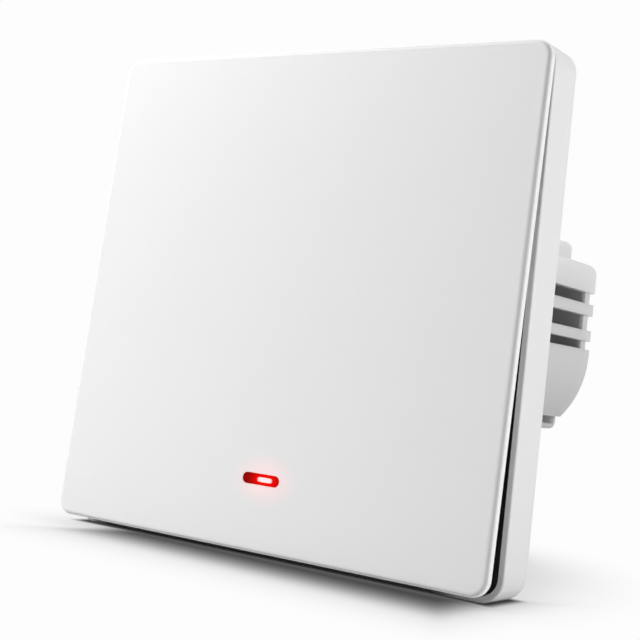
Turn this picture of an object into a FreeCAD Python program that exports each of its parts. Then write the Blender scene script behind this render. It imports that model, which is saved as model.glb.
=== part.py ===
import FreeCAD, Part
import math
import os
import Sketcher
from FreeCAD import Placement, Rotation, Vector

# Smart push-panel wall switch on a square wall plate, with its module behind the wall.
# Frame: origin at the centre of the wall plane, +Y into the wall, +X to the right of
# a person who faces the switch, +Z up. All sizes are millimetres and degrees.

doc = FreeCAD.newDocument("WallSwitch")
sheet = doc.addObject("Spreadsheet::Sheet", "Sizes")

driving_sizes = (
    # wall plate frame
    ("plate_width", 86.0),
    ("frame_depth", 8.0),
    ("corner_radius", 4.0),
    ("rim_width", 1.0),
    ("frame_edge_round", 0.3),
    ("flange_width", 4.5),
    ("flange_thickness", 1.2),
    ("frame_wall", 2.0),
    ("snap_gap", 0.15),
    # push panel and its hinge
    ("panel_foot_gap", 1.8),
    ("panel_corner_radius", 2.9),
    ("panel_thickness", 1.45),
    ("panel_edge_round", 0.8),
    ("panel_tilt", 2.7),
    ("panel_gap", 0.3),
    ("panel_above_hinge", 3.8),
    ("hinge_inset", 4.5),
    ("hinge_standoff", 2.6),
    ("pin_radius", 1.0),
    ("pin_clearance", 0.05),
    ("ear_inset", 14.0),
    ("ear_thickness", 2.0),
    ("side_gap", 0.3),
    ("lug_thickness", 2.4),
    ("lug_radius", 2.0),
    ("lug_mouth", 1.6),
    ("skirt_inset", 3.0),
    ("skirt_height", 1.6),
    ("skirt_thickness", 1.2),
    ("rib_height", 1.2),
    ("rib_thickness", 1.0),
    ("rib_columns", 7.0),
    ("rib_rows", 5.0),
    ("hook_inset", 17.0),
    ("hook_margin", 8.4),
    ("hook_width", 5.0),
    ("hook_thickness", 1.4),
    ("hook_nose", 1.0),
    ("hook_side_margin", 0.6),
    ("hook_window_margin", 0.3),
    ("hook_bar_width", 1.2),
    ("hook_bar_height", 1.2),
    # actuator post and press switch
    ("switch_z", -2.7),
    ("post_radius", 2.4),
    ("post_dome_radius", 4.0),
    ("post_clearance", 0.1),
    ("switch_width", 7.0),
    ("switch_height", 5.8),
    ("switch_window_gap", 0.3),
    ("plunger_radius", 1.75),
    ("plunger_bore_gap", 0.1),
    ("plunger_projection", 2.3),
    ("plunger_seat", 1.0),
    ("plunger_bore_depth", 3.2),
    # indicator
    ("pill_length", 7.3),
    ("pill_height", 1.8),
    ("pill_margin", 11.7),
    ("pill_shift", 0.75),
    ("pill_fit", 0.03),
    ("guide_flange", 0.8),
    ("guide_margin", 0.9),
    ("guide_bar_width", 2.4),
    ("guide_bar_thickness", 1.6),
    ("guide_stem_radius", 1.1),
    ("led_margin", 1.4),
    ("guide_tip_gap", 0.4),
    ("guide_hole_gap", 0.7),
    ("led_length", 1.6),
    ("led_width", 1.2),
    ("led_height", 0.7),
    # carrier plate
    ("carrier_thickness", 1.6),
    ("carrier_lip_height", 0.8),
    ("carrier_lip_width", 0.8),
    ("cup_inset", 27.0),
    ("cup_margin", 14.4),
    ("cup_wall", 0.8),
    ("cup_height", 1.2),
    ("spring_radius", 2.5),
    ("spring_wire", 0.25),
    ("spring_turns", 5.0),
    ("spring_cup_gap", 0.3),
    ("spring_end_gap", 0.1),
    ("spring_post_gap", 0.3),
    ("driver_window_width", 9.0),
    ("driver_window_height", 9.0),
    ("stake_inset", 9.5),
    ("stake_radius", 1.8),
    ("stake_pin_radius", 1.1),
    ("stake_hole_gap", 0.1),
    # mounting yoke
    ("yoke_thickness", 1.2),
    ("yoke_gap", 0.2),
    ("window_gap", 0.3),
    ("screw_spacing", 60.3),
    ("slot_radius", 2.1),
    ("slot_length", 7.0),
    # module housing
    ("module_depth", 30.3),
    ("seam_depth", 6.0),
    ("module_half_width", 28.0),
    ("module_half_height", 24.0),
    ("module_corner", 4.0),
    ("shoulder_step", 4.0),
    ("shoulder_top_step", 7.5),
    ("shoulder_bottom_step", 7.2),
    ("shoulder_corner", 1.2),
    ("wing_step", 5.1),
    ("wing_top_step", 3.9),
    ("wing_bottom_step", 2.3),
    ("wing_corner", 1.9),
    ("slant_start", 3.5),
    ("slant_run", 4.2),
    ("housing_wall", 1.6),
    ("rear_wall", 2.0),
    ("rear_round", 0.8),
    ("lap_length", 1.2),
    ("lap_thickness", 0.8),
    ("lap_gap", 0.1),
    ("vent_recess", 0.7),
    ("vent_front", 10.0),
    ("vent_rear_margin", 2.9),
    ("vent_top", 7.5),
    ("vent_one_height", 2.0),
    ("vent_rib_one", 2.0),
    ("vent_two_height", 2.6),
    ("vent_rib_two", 1.8),
    ("vent_three_height", 1.5),
    ("rib_end_depth", 1.0),
    ("rib_end_width", 1.5),
    ("underslot_height", 1.3),
    ("underslot_depth", 2.1),
    ("underslot_front", 12.0),
    ("underslot_rear_margin", 1.3),
    ("rear_vent_width", 1.6),
    ("rear_vent_length", 10.0),
    ("rear_vent_pitch", 4.0),
    ("rear_vent_z", 12.0),
    # bosses and screws
    ("boss_inset", 5.0),
    ("boss_radius", 2.6),
    ("screw_radius", 1.2),
    ("screw_length", 4.4),
    ("screw_hole_gap", 0.2),
    ("screw_head_radius", 2.3),
    ("screw_head_height", 1.3),
    ("screw_slot_width", 0.6),
    ("screw_slot_depth", 0.6),
    # boards and what stands on them
    ("control_board_front", 0.8),
    ("control_board_thickness", 1.2),
    ("power_board_depth", 17.3),
    ("power_board_thickness", 1.6),
    ("board_gap", 1.0),
    ("radio_width", 24.0),
    ("radio_height", 16.0),
    ("radio_board_thickness", 0.8),
    ("radio_shield_height", 2.0),
    ("radio_shield_margin", 1.2),
    ("radio_antenna_length", 6.0),
    ("header_pin_count", 5.0),
    ("header_pitch", 2.54),
    ("header_pin_width", 0.64),
    ("header_body_depth", 2.5),
    ("header_margin", 4.4),
    ("header_pin_gap", 0.03),
    ("spacer_radius", 2.2),
    ("spacer_bore", 1.2),
    ("relay_length", 18.2),
    ("relay_width", 10.2),
    ("relay_height", 12.5),
    ("relay_z", 2.0),
    ("transformer_core_width", 13.0),
    ("transformer_core_height", 11.0),
    ("transformer_core_depth", 6.0),
    ("transformer_leg", 3.8),
    ("transformer_window_width", 2.4),
    ("transformer_window_height", 7.0),
    ("transformer_depth", 12.0),
    ("transformer_gap", 0.1),
    ("transformer_z", 1.0),
    ("capacitor_radius", 4.0),
    ("capacitor_length", 11.5),
    ("capacitor_z", -1.0),
    ("varistor_radius", 3.6),
    ("varistor_thickness", 3.2),
    ("varistor_shift", 1.5),
    ("varistor_z", 13.5),
    ("fuse_radius", 1.6),
    ("fuse_length", 8.0),
    ("fuse_shift", 2.5),
    ("fuse_z", 12.5),
    ("lead_radius", 0.35),
    ("lead_reach", 1.2),
    ("varistor_standoff", 1.2),
    ("fuse_standoff", 0.4),
    ("film_capacitor_length", 13.0),
    ("film_capacitor_width", 5.0),
    ("film_capacitor_height", 9.5),
    ("film_capacitor_shift", 6.0),
    ("film_capacitor_z", 13.5),
    # wiring terminals
    ("pole_count", 4.0),
    ("terminal_side_gap", 1.2),
    ("terminal_height", 9.7),
    ("terminal_end_wall", 1.2),
    ("terminal_rear_gap", 0.1),
    ("terminal_cell_width", 6.4),
    ("terminal_wall", 1.4),
    ("clamp_gap", 0.2),
    ("clamp_wall", 1.1),
    ("wire_entry_width", 3.8),
    ("wire_entry_depth", 3.6),
    ("wire_entry_front", 3.0),
    ("clamp_cell_depth", 9.4),
    ("terminal_screw_radius", 1.5),
    ("terminal_screw_length", 4.6),
    ("terminal_head_radius", 2.1),
    ("terminal_head_height", 1.5),
    ("terminal_head_seat", 0.6),
    ("driver_hole_gap", 0.2),
    ("driver_hole_radius", 1.9),
)

# Sizes and places that follow from the driving sizes
derived_sizes = {
    "panel_width": "plate_width",
    "panel_height": "plate_width - panel_foot_gap",
    "panel_below_hinge": "panel_height - panel_above_hinge",
    "hinge_height": "plate_width / 2 - hinge_inset",
    "ear_inner_x": "plate_width / 2 - ear_inset",
    "rib_spacing": "2 * plate_width / rib_columns",
    "rib_step": "panel_height / rib_rows",
    "hook_x": "plate_width / 2 - hook_inset",
    "hook_drop": "panel_below_hinge - hook_margin",
    "post_drop": "hinge_height - switch_z",
    "pill_drop": "panel_below_hinge - pill_margin",
    "guide_drop": "hinge_height + board_half_height - led_margin",
    "cup_x": "plate_width / 2 - cup_inset",
    "cup_drop": "panel_below_hinge - cup_margin",
    "stake_x": "plate_width / 2 - stake_inset",
    "stake_z": "plate_width / 2 - stake_inset",
    "shoulder_half_width": "module_half_width + shoulder_step",
    "shoulder_top": "module_half_height - shoulder_top_step",
    "shoulder_bottom": "module_half_height - shoulder_bottom_step",
    "wing_half_width": "shoulder_half_width + wing_step",
    "wing_top": "shoulder_top - wing_top_step",
    "wing_bottom": "shoulder_bottom - wing_bottom_step",
    "boss_x": "module_half_width - boss_inset",
    "boss_z": "module_half_height - boss_inset",
    "board_half_width": "module_half_width - housing_wall - board_gap",
    "board_half_height": "module_half_height - housing_wall - board_gap",
    "power_board_front": "module_depth - power_board_depth",
    "header_z": "board_half_height - header_margin",
    "row_gap": "(2 * board_half_width - relay_length - transformer_core_width - 2 * capacitor_radius) / 4",
    "relay_x": "row_gap + relay_length / 2 - board_half_width",
    "transformer_x": "2 * row_gap + relay_length + transformer_core_width / 2 - board_half_width",
    "capacitor_x": "board_half_width - row_gap - capacitor_radius",
    "varistor_x": "relay_x - varistor_shift",
    "fuse_x": "capacitor_x - fuse_shift",
    "film_capacitor_x": "transformer_x - film_capacitor_shift",
    "pole_pitch": "2 * (boss_x - boss_radius - terminal_side_gap - terminal_end_wall) / pole_count",
    "terminal_bottom": "housing_wall + terminal_rear_gap - module_half_height",
    "terminal_top": "terminal_bottom + terminal_height",
}

for row, (alias, value) in enumerate(driving_sizes, 1):
    sheet.set("A%d" % row, alias)
    sheet.set("B%d" % row, str(value))
    sheet.setAlias("B%d" % row, alias)
doc.recompute()


aliases = set(name for name, _ in driving_sizes)


def expr(text):
    """Write a formula of sizes as a formula on the sheet's cells."""
    out = []
    word = ""
    for letter in text + " ":
        if letter.isalnum() or letter == "_":
            word += letter
            continue
        if word in derived_sizes:
            word = "(" + expr(derived_sizes[word]) + ")"
        out.append("Sizes." + word if word in aliases else word)
        out.append(letter)
        word = ""
    return "".join(out).strip()


def num(text):
    """The value that a formula of aliases has now."""
    return float(sheet.evalExpression(expr(text)))


def bind(thing, where, text):
    """Tie one property of an object to a formula on the sheet."""
    thing.setExpression(where, expr(text))


# Places along Y, from the front to the rear
YOKE_FRONT = "(-yoke_thickness)"
CARRIER_REAR = "(-yoke_thickness - flange_thickness)"
CARRIER_FRONT = "(-yoke_thickness - flange_thickness - carrier_thickness)"
OPENING = "(plate_width / 2 - rim_width)"
TILT_SIN = "sin(panel_tilt)"
TILT_COS = "cos(panel_tilt)"
HINGE_Y = (
    "((hinge_standoff - (plate_width / 2 - hinge_height) * %s) / %s - frame_depth - panel_gap)"
    % (TILT_SIN, TILT_COS)
)
BOARD_REAR = "(control_board_front + control_board_thickness)"
POWER_REAR = "(power_board_front + power_board_thickness)"
HOUSING_FLOOR = "(module_depth - rear_wall)"
SWITCH_FRONT = "(control_board_front - switch_height)"
PLUNGER_TOP = "(control_board_front - switch_height - plunger_projection)"
TERMINAL_REAR = "(module_depth - rear_wall - terminal_rear_gap)"
GUIDE_Z = "(hinge_height - guide_drop)"
CUP_Z = "(hinge_height - cup_drop)"
HOOK_Z = "(hinge_height - hook_drop - 0.2)"


def box(name, x, y, z):
    """A block between two formulas on each axis."""
    block = doc.addObject("Part::Box", name)
    for side, (low, high) in (("Length", x), ("Width", y), ("Height", z)):
        bind(block, side, "(%s) - (%s)" % (high, low))
    for axis, (low, high) in (("x", x), ("y", y), ("z", z)):
        bind(block, "Placement.Base." + axis, low)
    return block


AXIS_TURNS = {
    "x": Rotation(Vector(0, 1, 0), 90),
    "y": Rotation(Vector(1, 0, 0), -90),
    "z": Rotation(),
}


def rod(name, axis, centre, span, radius):
    """A round bar along one axis; centre holds the other two places in X, Y, Z order."""
    bar = doc.addObject("Part::Cylinder", name)
    bind(bar, "Radius", radius)
    bind(bar, "Height", "(%s) - (%s)" % (span[1], span[0]))
    bar.Placement = Placement(Vector(), AXIS_TURNS[axis])
    others = [letter for letter in "xyz" if letter != axis]
    bind(bar, "Placement.Base." + axis, span[0])
    bind(bar, "Placement.Base." + others[0], centre[0])
    bind(bar, "Placement.Base." + others[1], centre[1])
    return bar


def join(name, pieces):
    """Several shapes made one."""
    if len(pieces) == 1:
        return pieces[0]
    whole = doc.addObject("Part::MultiFuse", name)
    whole.Shapes = pieces
    whole.Refine = True
    return whole


def group(name, pieces):
    """Several like solids kept apart in one piece."""
    whole = doc.addObject("Part::Compound", name)
    whole.Links = pieces
    return whole


def cut(name, base, tools):
    """A shape with others taken away from it."""
    rest = doc.addObject("Part::Cut", name)
    rest.Base = base
    rest.Tool = join(name + "_tools", tools)
    rest.Refine = True
    return rest


def sketch_at(body, y):
    """A sketch on the body's front plane, moved to one depth; it faces the front."""
    plane = [part for part in body.Origin.OriginFeatures if part.Role == "XZ_Plane"][0]
    sketch = body.newObject("Sketcher::SketchObject", "Sketch")
    sketch.AttachmentSupport = [(plane, "")]
    sketch.MapMode = "FlatFace"
    bind(sketch, "AttachmentOffset.Base.z", "-(%s)" % y)
    return sketch


def hold(sketch, constraint, text):
    """Add a measured constraint and tie it to a formula."""
    index = sketch.addConstraint(constraint)
    name = "size%d" % index
    sketch.renameConstraint(index, name)
    bind(sketch, "Constraints." + name, text)


def line(x0, z0, x1, z1):
    return Part.LineSegment(Vector(x0, z0, 0), Vector(x1, z1, 0))


def arc(x, z, radius, start, end):
    circle = Part.Circle(Vector(x, z, 0), Vector(0, 0, 1), radius)
    return Part.ArcOfCircle(circle, math.radians(start), math.radians(end))


def rounded_rectangle(sketch, x, z, radius):
    """A rectangle between two formulas each way, with its corners rounded."""
    left, right, low, high, r = [num(text) for text in (x[0], x[1], z[0], z[1], radius)]
    ids = sketch.addGeometry([
        line(left + r, low, right - r, low),
        arc(right - r, low + r, r, -90, 0),
        line(right, low + r, right, high - r),
        arc(right - r, high - r, r, 0, 90),
        line(right - r, high, left + r, high),
        arc(left + r, high - r, r, 90, 180),
        line(left, high - r, left, low + r),
        arc(left + r, low + r, r, 180, 270),
    ], False)
    rule = Sketcher.Constraint
    rules = [rule("Tangent", ids[i], 2, ids[(i + 1) % 8], 1) for i in range(8)]
    rules += [rule("Horizontal", ids[0]), rule("Horizontal", ids[4])]
    rules += [rule("Vertical", ids[2]), rule("Vertical", ids[6])]
    rules += [rule("Equal", ids[i], ids[i + 2]) for i in (1, 3, 5)]
    sketch.addConstraint(rules)
    hold(sketch, rule("Radius", ids[1], r), radius)
    hold(sketch, rule("DistanceX", -1, 1, ids[6], 1, left), x[0])
    hold(sketch, rule("DistanceX", -1, 1, ids[2], 1, right), x[1])
    hold(sketch, rule("DistanceY", -1, 1, ids[0], 1, low), z[0])
    hold(sketch, rule("DistanceY", -1, 1, ids[4], 1, high), z[1])


def round_hole(sketch, x, z, radius):
    """A circle."""
    across, up, r = [num(text) for text in (x, z, radius)]
    index = sketch.addGeometry(Part.Circle(Vector(across, up, 0), Vector(0, 0, 1), r), False)
    rule = Sketcher.Constraint
    hold(sketch, rule("Radius", index, r), radius)
    hold(sketch, rule("DistanceX", -1, 1, index, 3, across), x)
    hold(sketch, rule("DistanceY", -1, 1, index, 3, up), z)


def long_hole(sketch, x, z, radius, upright):
    """A slot with round ends; x and z are the places of its two arc centres."""
    x0, x1, z0, z1, r = [num(text) for text in (x[0], x[1], z[0], z[1], radius)]
    turn = 90 if upright else 0
    side_x, side_z = (r, 0) if upright else (0, r)
    ids = sketch.addGeometry([
        arc(x1, z1, r, turn - 90, turn + 90),
        line(x1 - side_x, z1 + side_z, x0 - side_x, z0 + side_z),
        arc(x0, z0, r, turn + 90, turn + 270),
        line(x0 + side_x, z0 - side_z, x1 + side_x, z1 - side_z),
    ], False)
    rule = Sketcher.Constraint
    rules = [rule("Tangent", ids[i], 2, ids[(i + 1) % 4], 1) for i in range(4)]
    rules.append(rule("Equal", ids[0], ids[2]))
    rules.append(rule("Vertical" if upright else "Horizontal", ids[1]))
    sketch.addConstraint(rules)
    hold(sketch, rule("Radius", ids[0], r), radius)
    hold(sketch, rule("DistanceX", -1, 1, ids[0], 3, x1), x[1])
    hold(sketch, rule("DistanceY", -1, 1, ids[0], 3, z1), z[1])
    if upright:
        hold(sketch, rule("DistanceY", -1, 1, ids[2], 3, z0), z[0])
    else:
        hold(sketch, rule("DistanceX", -1, 1, ids[2], 3, x0), x[0])


def wing_outline(sketch, inset):
    """The wings' outline: level top and bottom, round top corners, slanted lower sides."""
    half = "(wing_half_width - %s)" % inset
    top = "(wing_top - %s)" % inset
    low = "(%s - wing_bottom)" % inset
    foot = "(wing_half_width - slant_run - 0.6 * %s)" % inset
    corner = "(wing_corner - %s / 2)" % inset
    w, t, b, f, r = [num(text) for text in (half, top, low, foot, corner)]
    start = -num("slant_start")
    run = w - f
    drop = start - b
    big = (run * run + drop * drop) / (2 * run)
    centre = w - big
    toe = math.degrees(math.atan2(b - start, f - centre))
    ids = sketch.addGeometry([
        line(-f, b, f, b),
        arc(centre, start, big, toe, 0),
        line(w, start, w, t - r),
        arc(w - r, t - r, r, 0, 90),
        line(w - r, t, r - w, t),
        arc(r - w, t - r, r, 90, 180),
        line(-w, t - r, -w, start),
        arc(-centre, start, big, 180, 180 - toe),
    ], False)
    rule = Sketcher.Constraint
    rules = [rule("Coincident", ids[i], 2, ids[(i + 1) % 8], 1) for i in (0, 7)]
    rules += [rule("Tangent", ids[i], 2, ids[i + 1], 1) for i in (1, 2, 3, 4, 5, 6)]
    rules += [rule("Horizontal", ids[0]), rule("Vertical", ids[2]), rule("Vertical", ids[6])]
    rules.append(rule("Equal", ids[3], ids[5]))
    rules.append(rule("Horizontal", ids[4]))
    sketch.addConstraint(rules)
    hold(sketch, rule("Radius", ids[3], r), corner)
    hold(sketch, rule("DistanceX", -1, 1, ids[2], 1, w), half)
    hold(sketch, rule("DistanceX", -1, 1, ids[6], 1, -w), "-" + half)
    hold(sketch, rule("DistanceY", -1, 1, ids[2], 1, start), "-slant_start")
    hold(sketch, rule("DistanceY", -1, 1, ids[6], 2, start), "-slant_start")
    hold(sketch, rule("DistanceY", -1, 1, ids[4], 1, t), top)
    hold(sketch, rule("DistanceY", -1, 1, ids[0], 1, b), low)
    hold(sketch, rule("DistanceX", -1, 1, ids[0], 2, f), foot)
    hold(sketch, rule("DistanceX", -1, 1, ids[0], 1, -f), "-" + foot)


def pad(body, y, loops):
    """Add a plate to a body between two depths; each loop is a function and its sizes."""
    sketch = sketch_at(body, y[1])
    for draw, sizes in loops:
        draw(sketch, *sizes)
    plate = body.newObject("PartDesign::Pad", "Pad")
    plate.Profile = sketch
    bind(plate, "Length", "(%s) - (%s)" % (y[1], y[0]))
    body.Tip = plate
    doc.recompute()
    return plate


def slab(name, y, loops):
    """A body that starts as one plate."""
    body = doc.addObject("PartDesign::Body", name)
    pad(body, y, loops)
    return body


def square_loop(half, radius):
    return rounded_rectangle, (("-" + half, half), ("-" + half, half), radius)


def outline_edges(shape, y):
    """Names of the edges round the outside of the flat face at one depth."""
    names = set()
    for face in shape.Faces:
        if all(abs(vertex.Y - y) < 1e-4 for vertex in face.Vertexes):
            for edge in face.OuterWire.Edges:
                names.update(
                    "Edge%d" % index
                    for index, other in enumerate(shape.Edges, 1)
                    if other.isSame(edge)
                )
    return sorted(names)


def soften(body, y, radius):
    """Round the outer edges of a body's flat face at one depth."""
    base = body.Tip
    rounding = body.newObject("PartDesign::Fillet", "Rounding")
    rounding.Base = (base, outline_edges(base.Shape, num(y)))
    bind(rounding, "Radius", radius)
    body.Tip = rounding
    doc.recompute()


def on_panel_plane(thing):
    """Put a piece that is drawn about the hinge axis at its place, tilted as at rest."""
    thing.Placement = Placement(Vector(), Rotation(Vector(-1, 0, 0), num("panel_tilt")))
    bind(thing, "Placement.Rotation.Angle", "panel_tilt")
    bind(thing, "Placement.Base.y", HINGE_Y)
    bind(thing, "Placement.Base.z", "hinge_height")


def depth_on_panel(y, drop):
    """The panel's own depth at which a point, some way below the hinge, has depth y."""
    return "((%s - %s + %s * %s) / %s)" % (y, HINGE_Y, drop, TILT_SIN, TILT_COS)


nodes = {}


def node(name, thing):
    """Name a finished piece."""
    thing.Label = name
    nodes[name] = thing


BOTH_SIDES = (("right", ""), ("left", "-"))


def make_outer_frame():
    """The square frame: a thin rim, an inner flange behind the carrier, an open back."""
    outer = square_loop("plate_width / 2", "corner_radius")
    inner_radius = "(corner_radius - rim_width)"
    body = slab("frame", (YOKE_FRONT, "0"), [
        outer, square_loop("(plate_width / 2 - frame_wall)", "(corner_radius - frame_wall)")])
    flange = "(plate_width / 2 - rim_width - flange_width)"
    pad(body, (CARRIER_REAR, YOKE_FRONT), [outer, square_loop(flange, inner_radius)])
    pad(body, ("-frame_depth", CARRIER_REAR), [outer, square_loop(OPENING, inner_radius)])
    soften(body, "-frame_depth", "frame_edge_round")
    soften(body, "0", "frame_edge_round")
    node("outer_frame", body)


PANEL_REAR = "(-hinge_standoff)"
PANEL_FRONT = "(-hinge_standoff - panel_thickness)"
PANEL_LOW = "(panel_above_hinge - panel_height)"
PILL_X = ("(pill_shift - (pill_length - pill_height) / 2)", "(pill_shift + (pill_length - pill_height) / 2)")
PILL_Z = ("-pill_drop", "-pill_drop")
LUG_INNER = "(ear_inner_x + ear_thickness + side_gap)"
LUG_OUTER = "(ear_inner_x + ear_thickness + side_gap + lug_thickness)"
EAR_RADIUS = "(lug_radius - side_gap)"


def mirrored(low, high, sign):
    """A span on one side of the middle, in rising order."""
    if sign:
        return "-" + high, "-" + low
    return low, high


def make_push_panel():
    """The big square button: plate, skirt, ribs, hinge ears, hooks and actuator post."""
    half = "(panel_width / 2)"
    body = slab("panel", (PANEL_FRONT, PANEL_REAR), [
        (rounded_rectangle, (("-" + half, half), (PANEL_LOW, "panel_above_hinge"), "panel_corner_radius")),
        (long_hole, (PILL_X, PILL_Z, "(pill_height / 2 + pill_fit)", False)),
    ])
    soften(body, PANEL_FRONT, "panel_edge_round")
    out = "(panel_width / 2 - skirt_inset)"
    inner = "(panel_width / 2 - skirt_inset - skirt_thickness)"
    low = "(panel_above_hinge - panel_height + skirt_inset)"
    high = "(panel_above_hinge - skirt_inset)"
    round_out = "(corner_radius - skirt_inset / 2)"
    round_in = "(corner_radius - skirt_inset / 2 - skirt_thickness)"
    skirt = slab("skirt", (PANEL_REAR, "(skirt_height - hinge_standoff)"), [
        (rounded_rectangle, (("-" + out, out), (low, high), round_out)),
        (rounded_rectangle, (("-" + inner, inner), ("(%s + skirt_thickness)" % low,
                                                    "(%s - skirt_thickness)" % high), round_in)),
    ])
    rib_back = "(rib_height - hinge_standoff)"
    parts = [body]
    notches = []
    ribs = []
    for side, sign in BOTH_SIDES:
        inside = "(ear_inner_x - side_gap)"
        outside = "(%s + 2 * side_gap)" % LUG_OUTER
        notches.append(box("skirt_notch_" + side, mirrored(inside, outside, sign),
                           (PANEL_REAR, "skirt_height"), ("(-lug_radius - side_gap)", high)))
        ear = mirrored("ear_inner_x", "(ear_inner_x + ear_thickness)", sign)
        parts.append(box("ear_web_" + side, ear, (PANEL_REAR, "0"), ("-" + EAR_RADIUS, EAR_RADIUS)))
        parts.append(rod("ear_round_" + side, "x", ("0", "0"), ear, EAR_RADIUS))
        pin = mirrored("ear_inner_x", "(%s + side_gap)" % LUG_OUTER, sign)
        parts.append(rod("hinge_pin_" + side, "x", ("0", "0"), pin, "pin_radius"))
        hook_span = ("(%shook_x - hook_width / 2)" % sign, "(%shook_x + hook_width / 2)" % sign)
        catch = depth_on_panel("(%s + post_clearance)" % CARRIER_FRONT, "(hook_drop + hook_thickness)")
        arm = ("(-hook_drop - hook_thickness / 2)", "(hook_thickness / 2 - hook_drop)")
        end = "(%s + hook_nose)" % catch
        parts.append(box("hook_arm_" + side, hook_span, (PANEL_REAR, end), arm))
        nose = ("(%s - hook_nose)" % arm[0], arm[0])
        parts.append(box("hook_nose_" + side, hook_span, (catch, end), nose))
        post = "(spring_radius - 2 * spring_wire - spring_post_gap)"
        parts.append(rod("spring_post_" + side, "y", (sign + "cup_x", "-cup_drop"),
                         (PANEL_REAR, rib_back), post))
        for place in ("(rib_spacing / 2)", "(rib_spacing * 3 / 2)"):
            spread = "(%s%s - rib_thickness / 2)" % (sign, place)
            ribs.append(box("rib_upright_" + side, (spread, "(%s + rib_thickness)" % spread),
                            (PANEL_REAR, rib_back), ("(%s + skirt_thickness)" % low,
                                                     "(%s - skirt_thickness)" % high)))
    for index in range(3):
        level = "(-%d * rib_step)" % (index + 1)
        ribs.append(box("rib_level", ("-" + inner, inner), (PANEL_REAR, rib_back),
                        ("(%s - rib_thickness / 2)" % level, "(%s + rib_thickness / 2)" % level)))
    dome_centre = depth_on_panel(
        "(%s - post_clearance - post_dome_radius)" % PLUNGER_TOP, "post_drop")
    dome = doc.addObject("Part::Sphere", "post_dome")
    bind(dome, "Radius", "post_dome_radius")
    bind(dome, "Placement.Base.y", dome_centre)
    bind(dome, "Placement.Base.z", "-post_drop")
    column = rod("post_column", "y", ("0", "-post_drop"),
                 (PANEL_REAR, "(%s + post_dome_radius + 1)" % dome_centre), "post_radius")
    post = doc.addObject("Part::Common", "actuator_post")
    post.Base = column
    post.Tool = dome
    whole = join("push_panel_solid", parts + [cut("panel_skirt", skirt, notches), post] + ribs)
    on_panel_plane(whole)
    node("push_panel", whole)


def make_light_guide():
    """The indicator's clear guide: pill window, flange, a bar up the panel and a stem."""
    flange = "(guide_flange - hinge_standoff)"
    body = slab("guide", (PANEL_FRONT, PANEL_REAR), [
        (long_hole, (PILL_X, PILL_Z, "(pill_height / 2)", False))])
    pad(body, (PANEL_REAR, flange), [
        (long_hole, (PILL_X, PILL_Z, "(pill_height / 2 + guide_margin)", False))])
    bar = box("guide_bar", ("(-guide_bar_width / 2)", "(guide_bar_width / 2)"),
              (PANEL_REAR, "(guide_bar_thickness - hinge_standoff)"),
              ("-pill_drop", "(guide_bar_width / 2 - guide_drop)"))
    tip = depth_on_panel("(%s - guide_tip_gap)" % CARRIER_FRONT, "guide_drop")
    stem = rod("guide_stem", "y", ("0", "-guide_drop"), (PANEL_REAR, tip), "guide_stem_radius")
    whole = join("light_guide_solid", [body, bar, stem])
    on_panel_plane(whole)
    node("light_guide", whole)


def centred(place, width):
    """A span of a given width about a place."""
    return "(%s - %s / 2)" % (place, width), "(%s + %s / 2)" % (place, width)


def corners(x, z):
    """Four places, one in each corner."""
    return [(a + x, b + z) for _, a in BOTH_SIDES for _, b in BOTH_SIDES]


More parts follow.
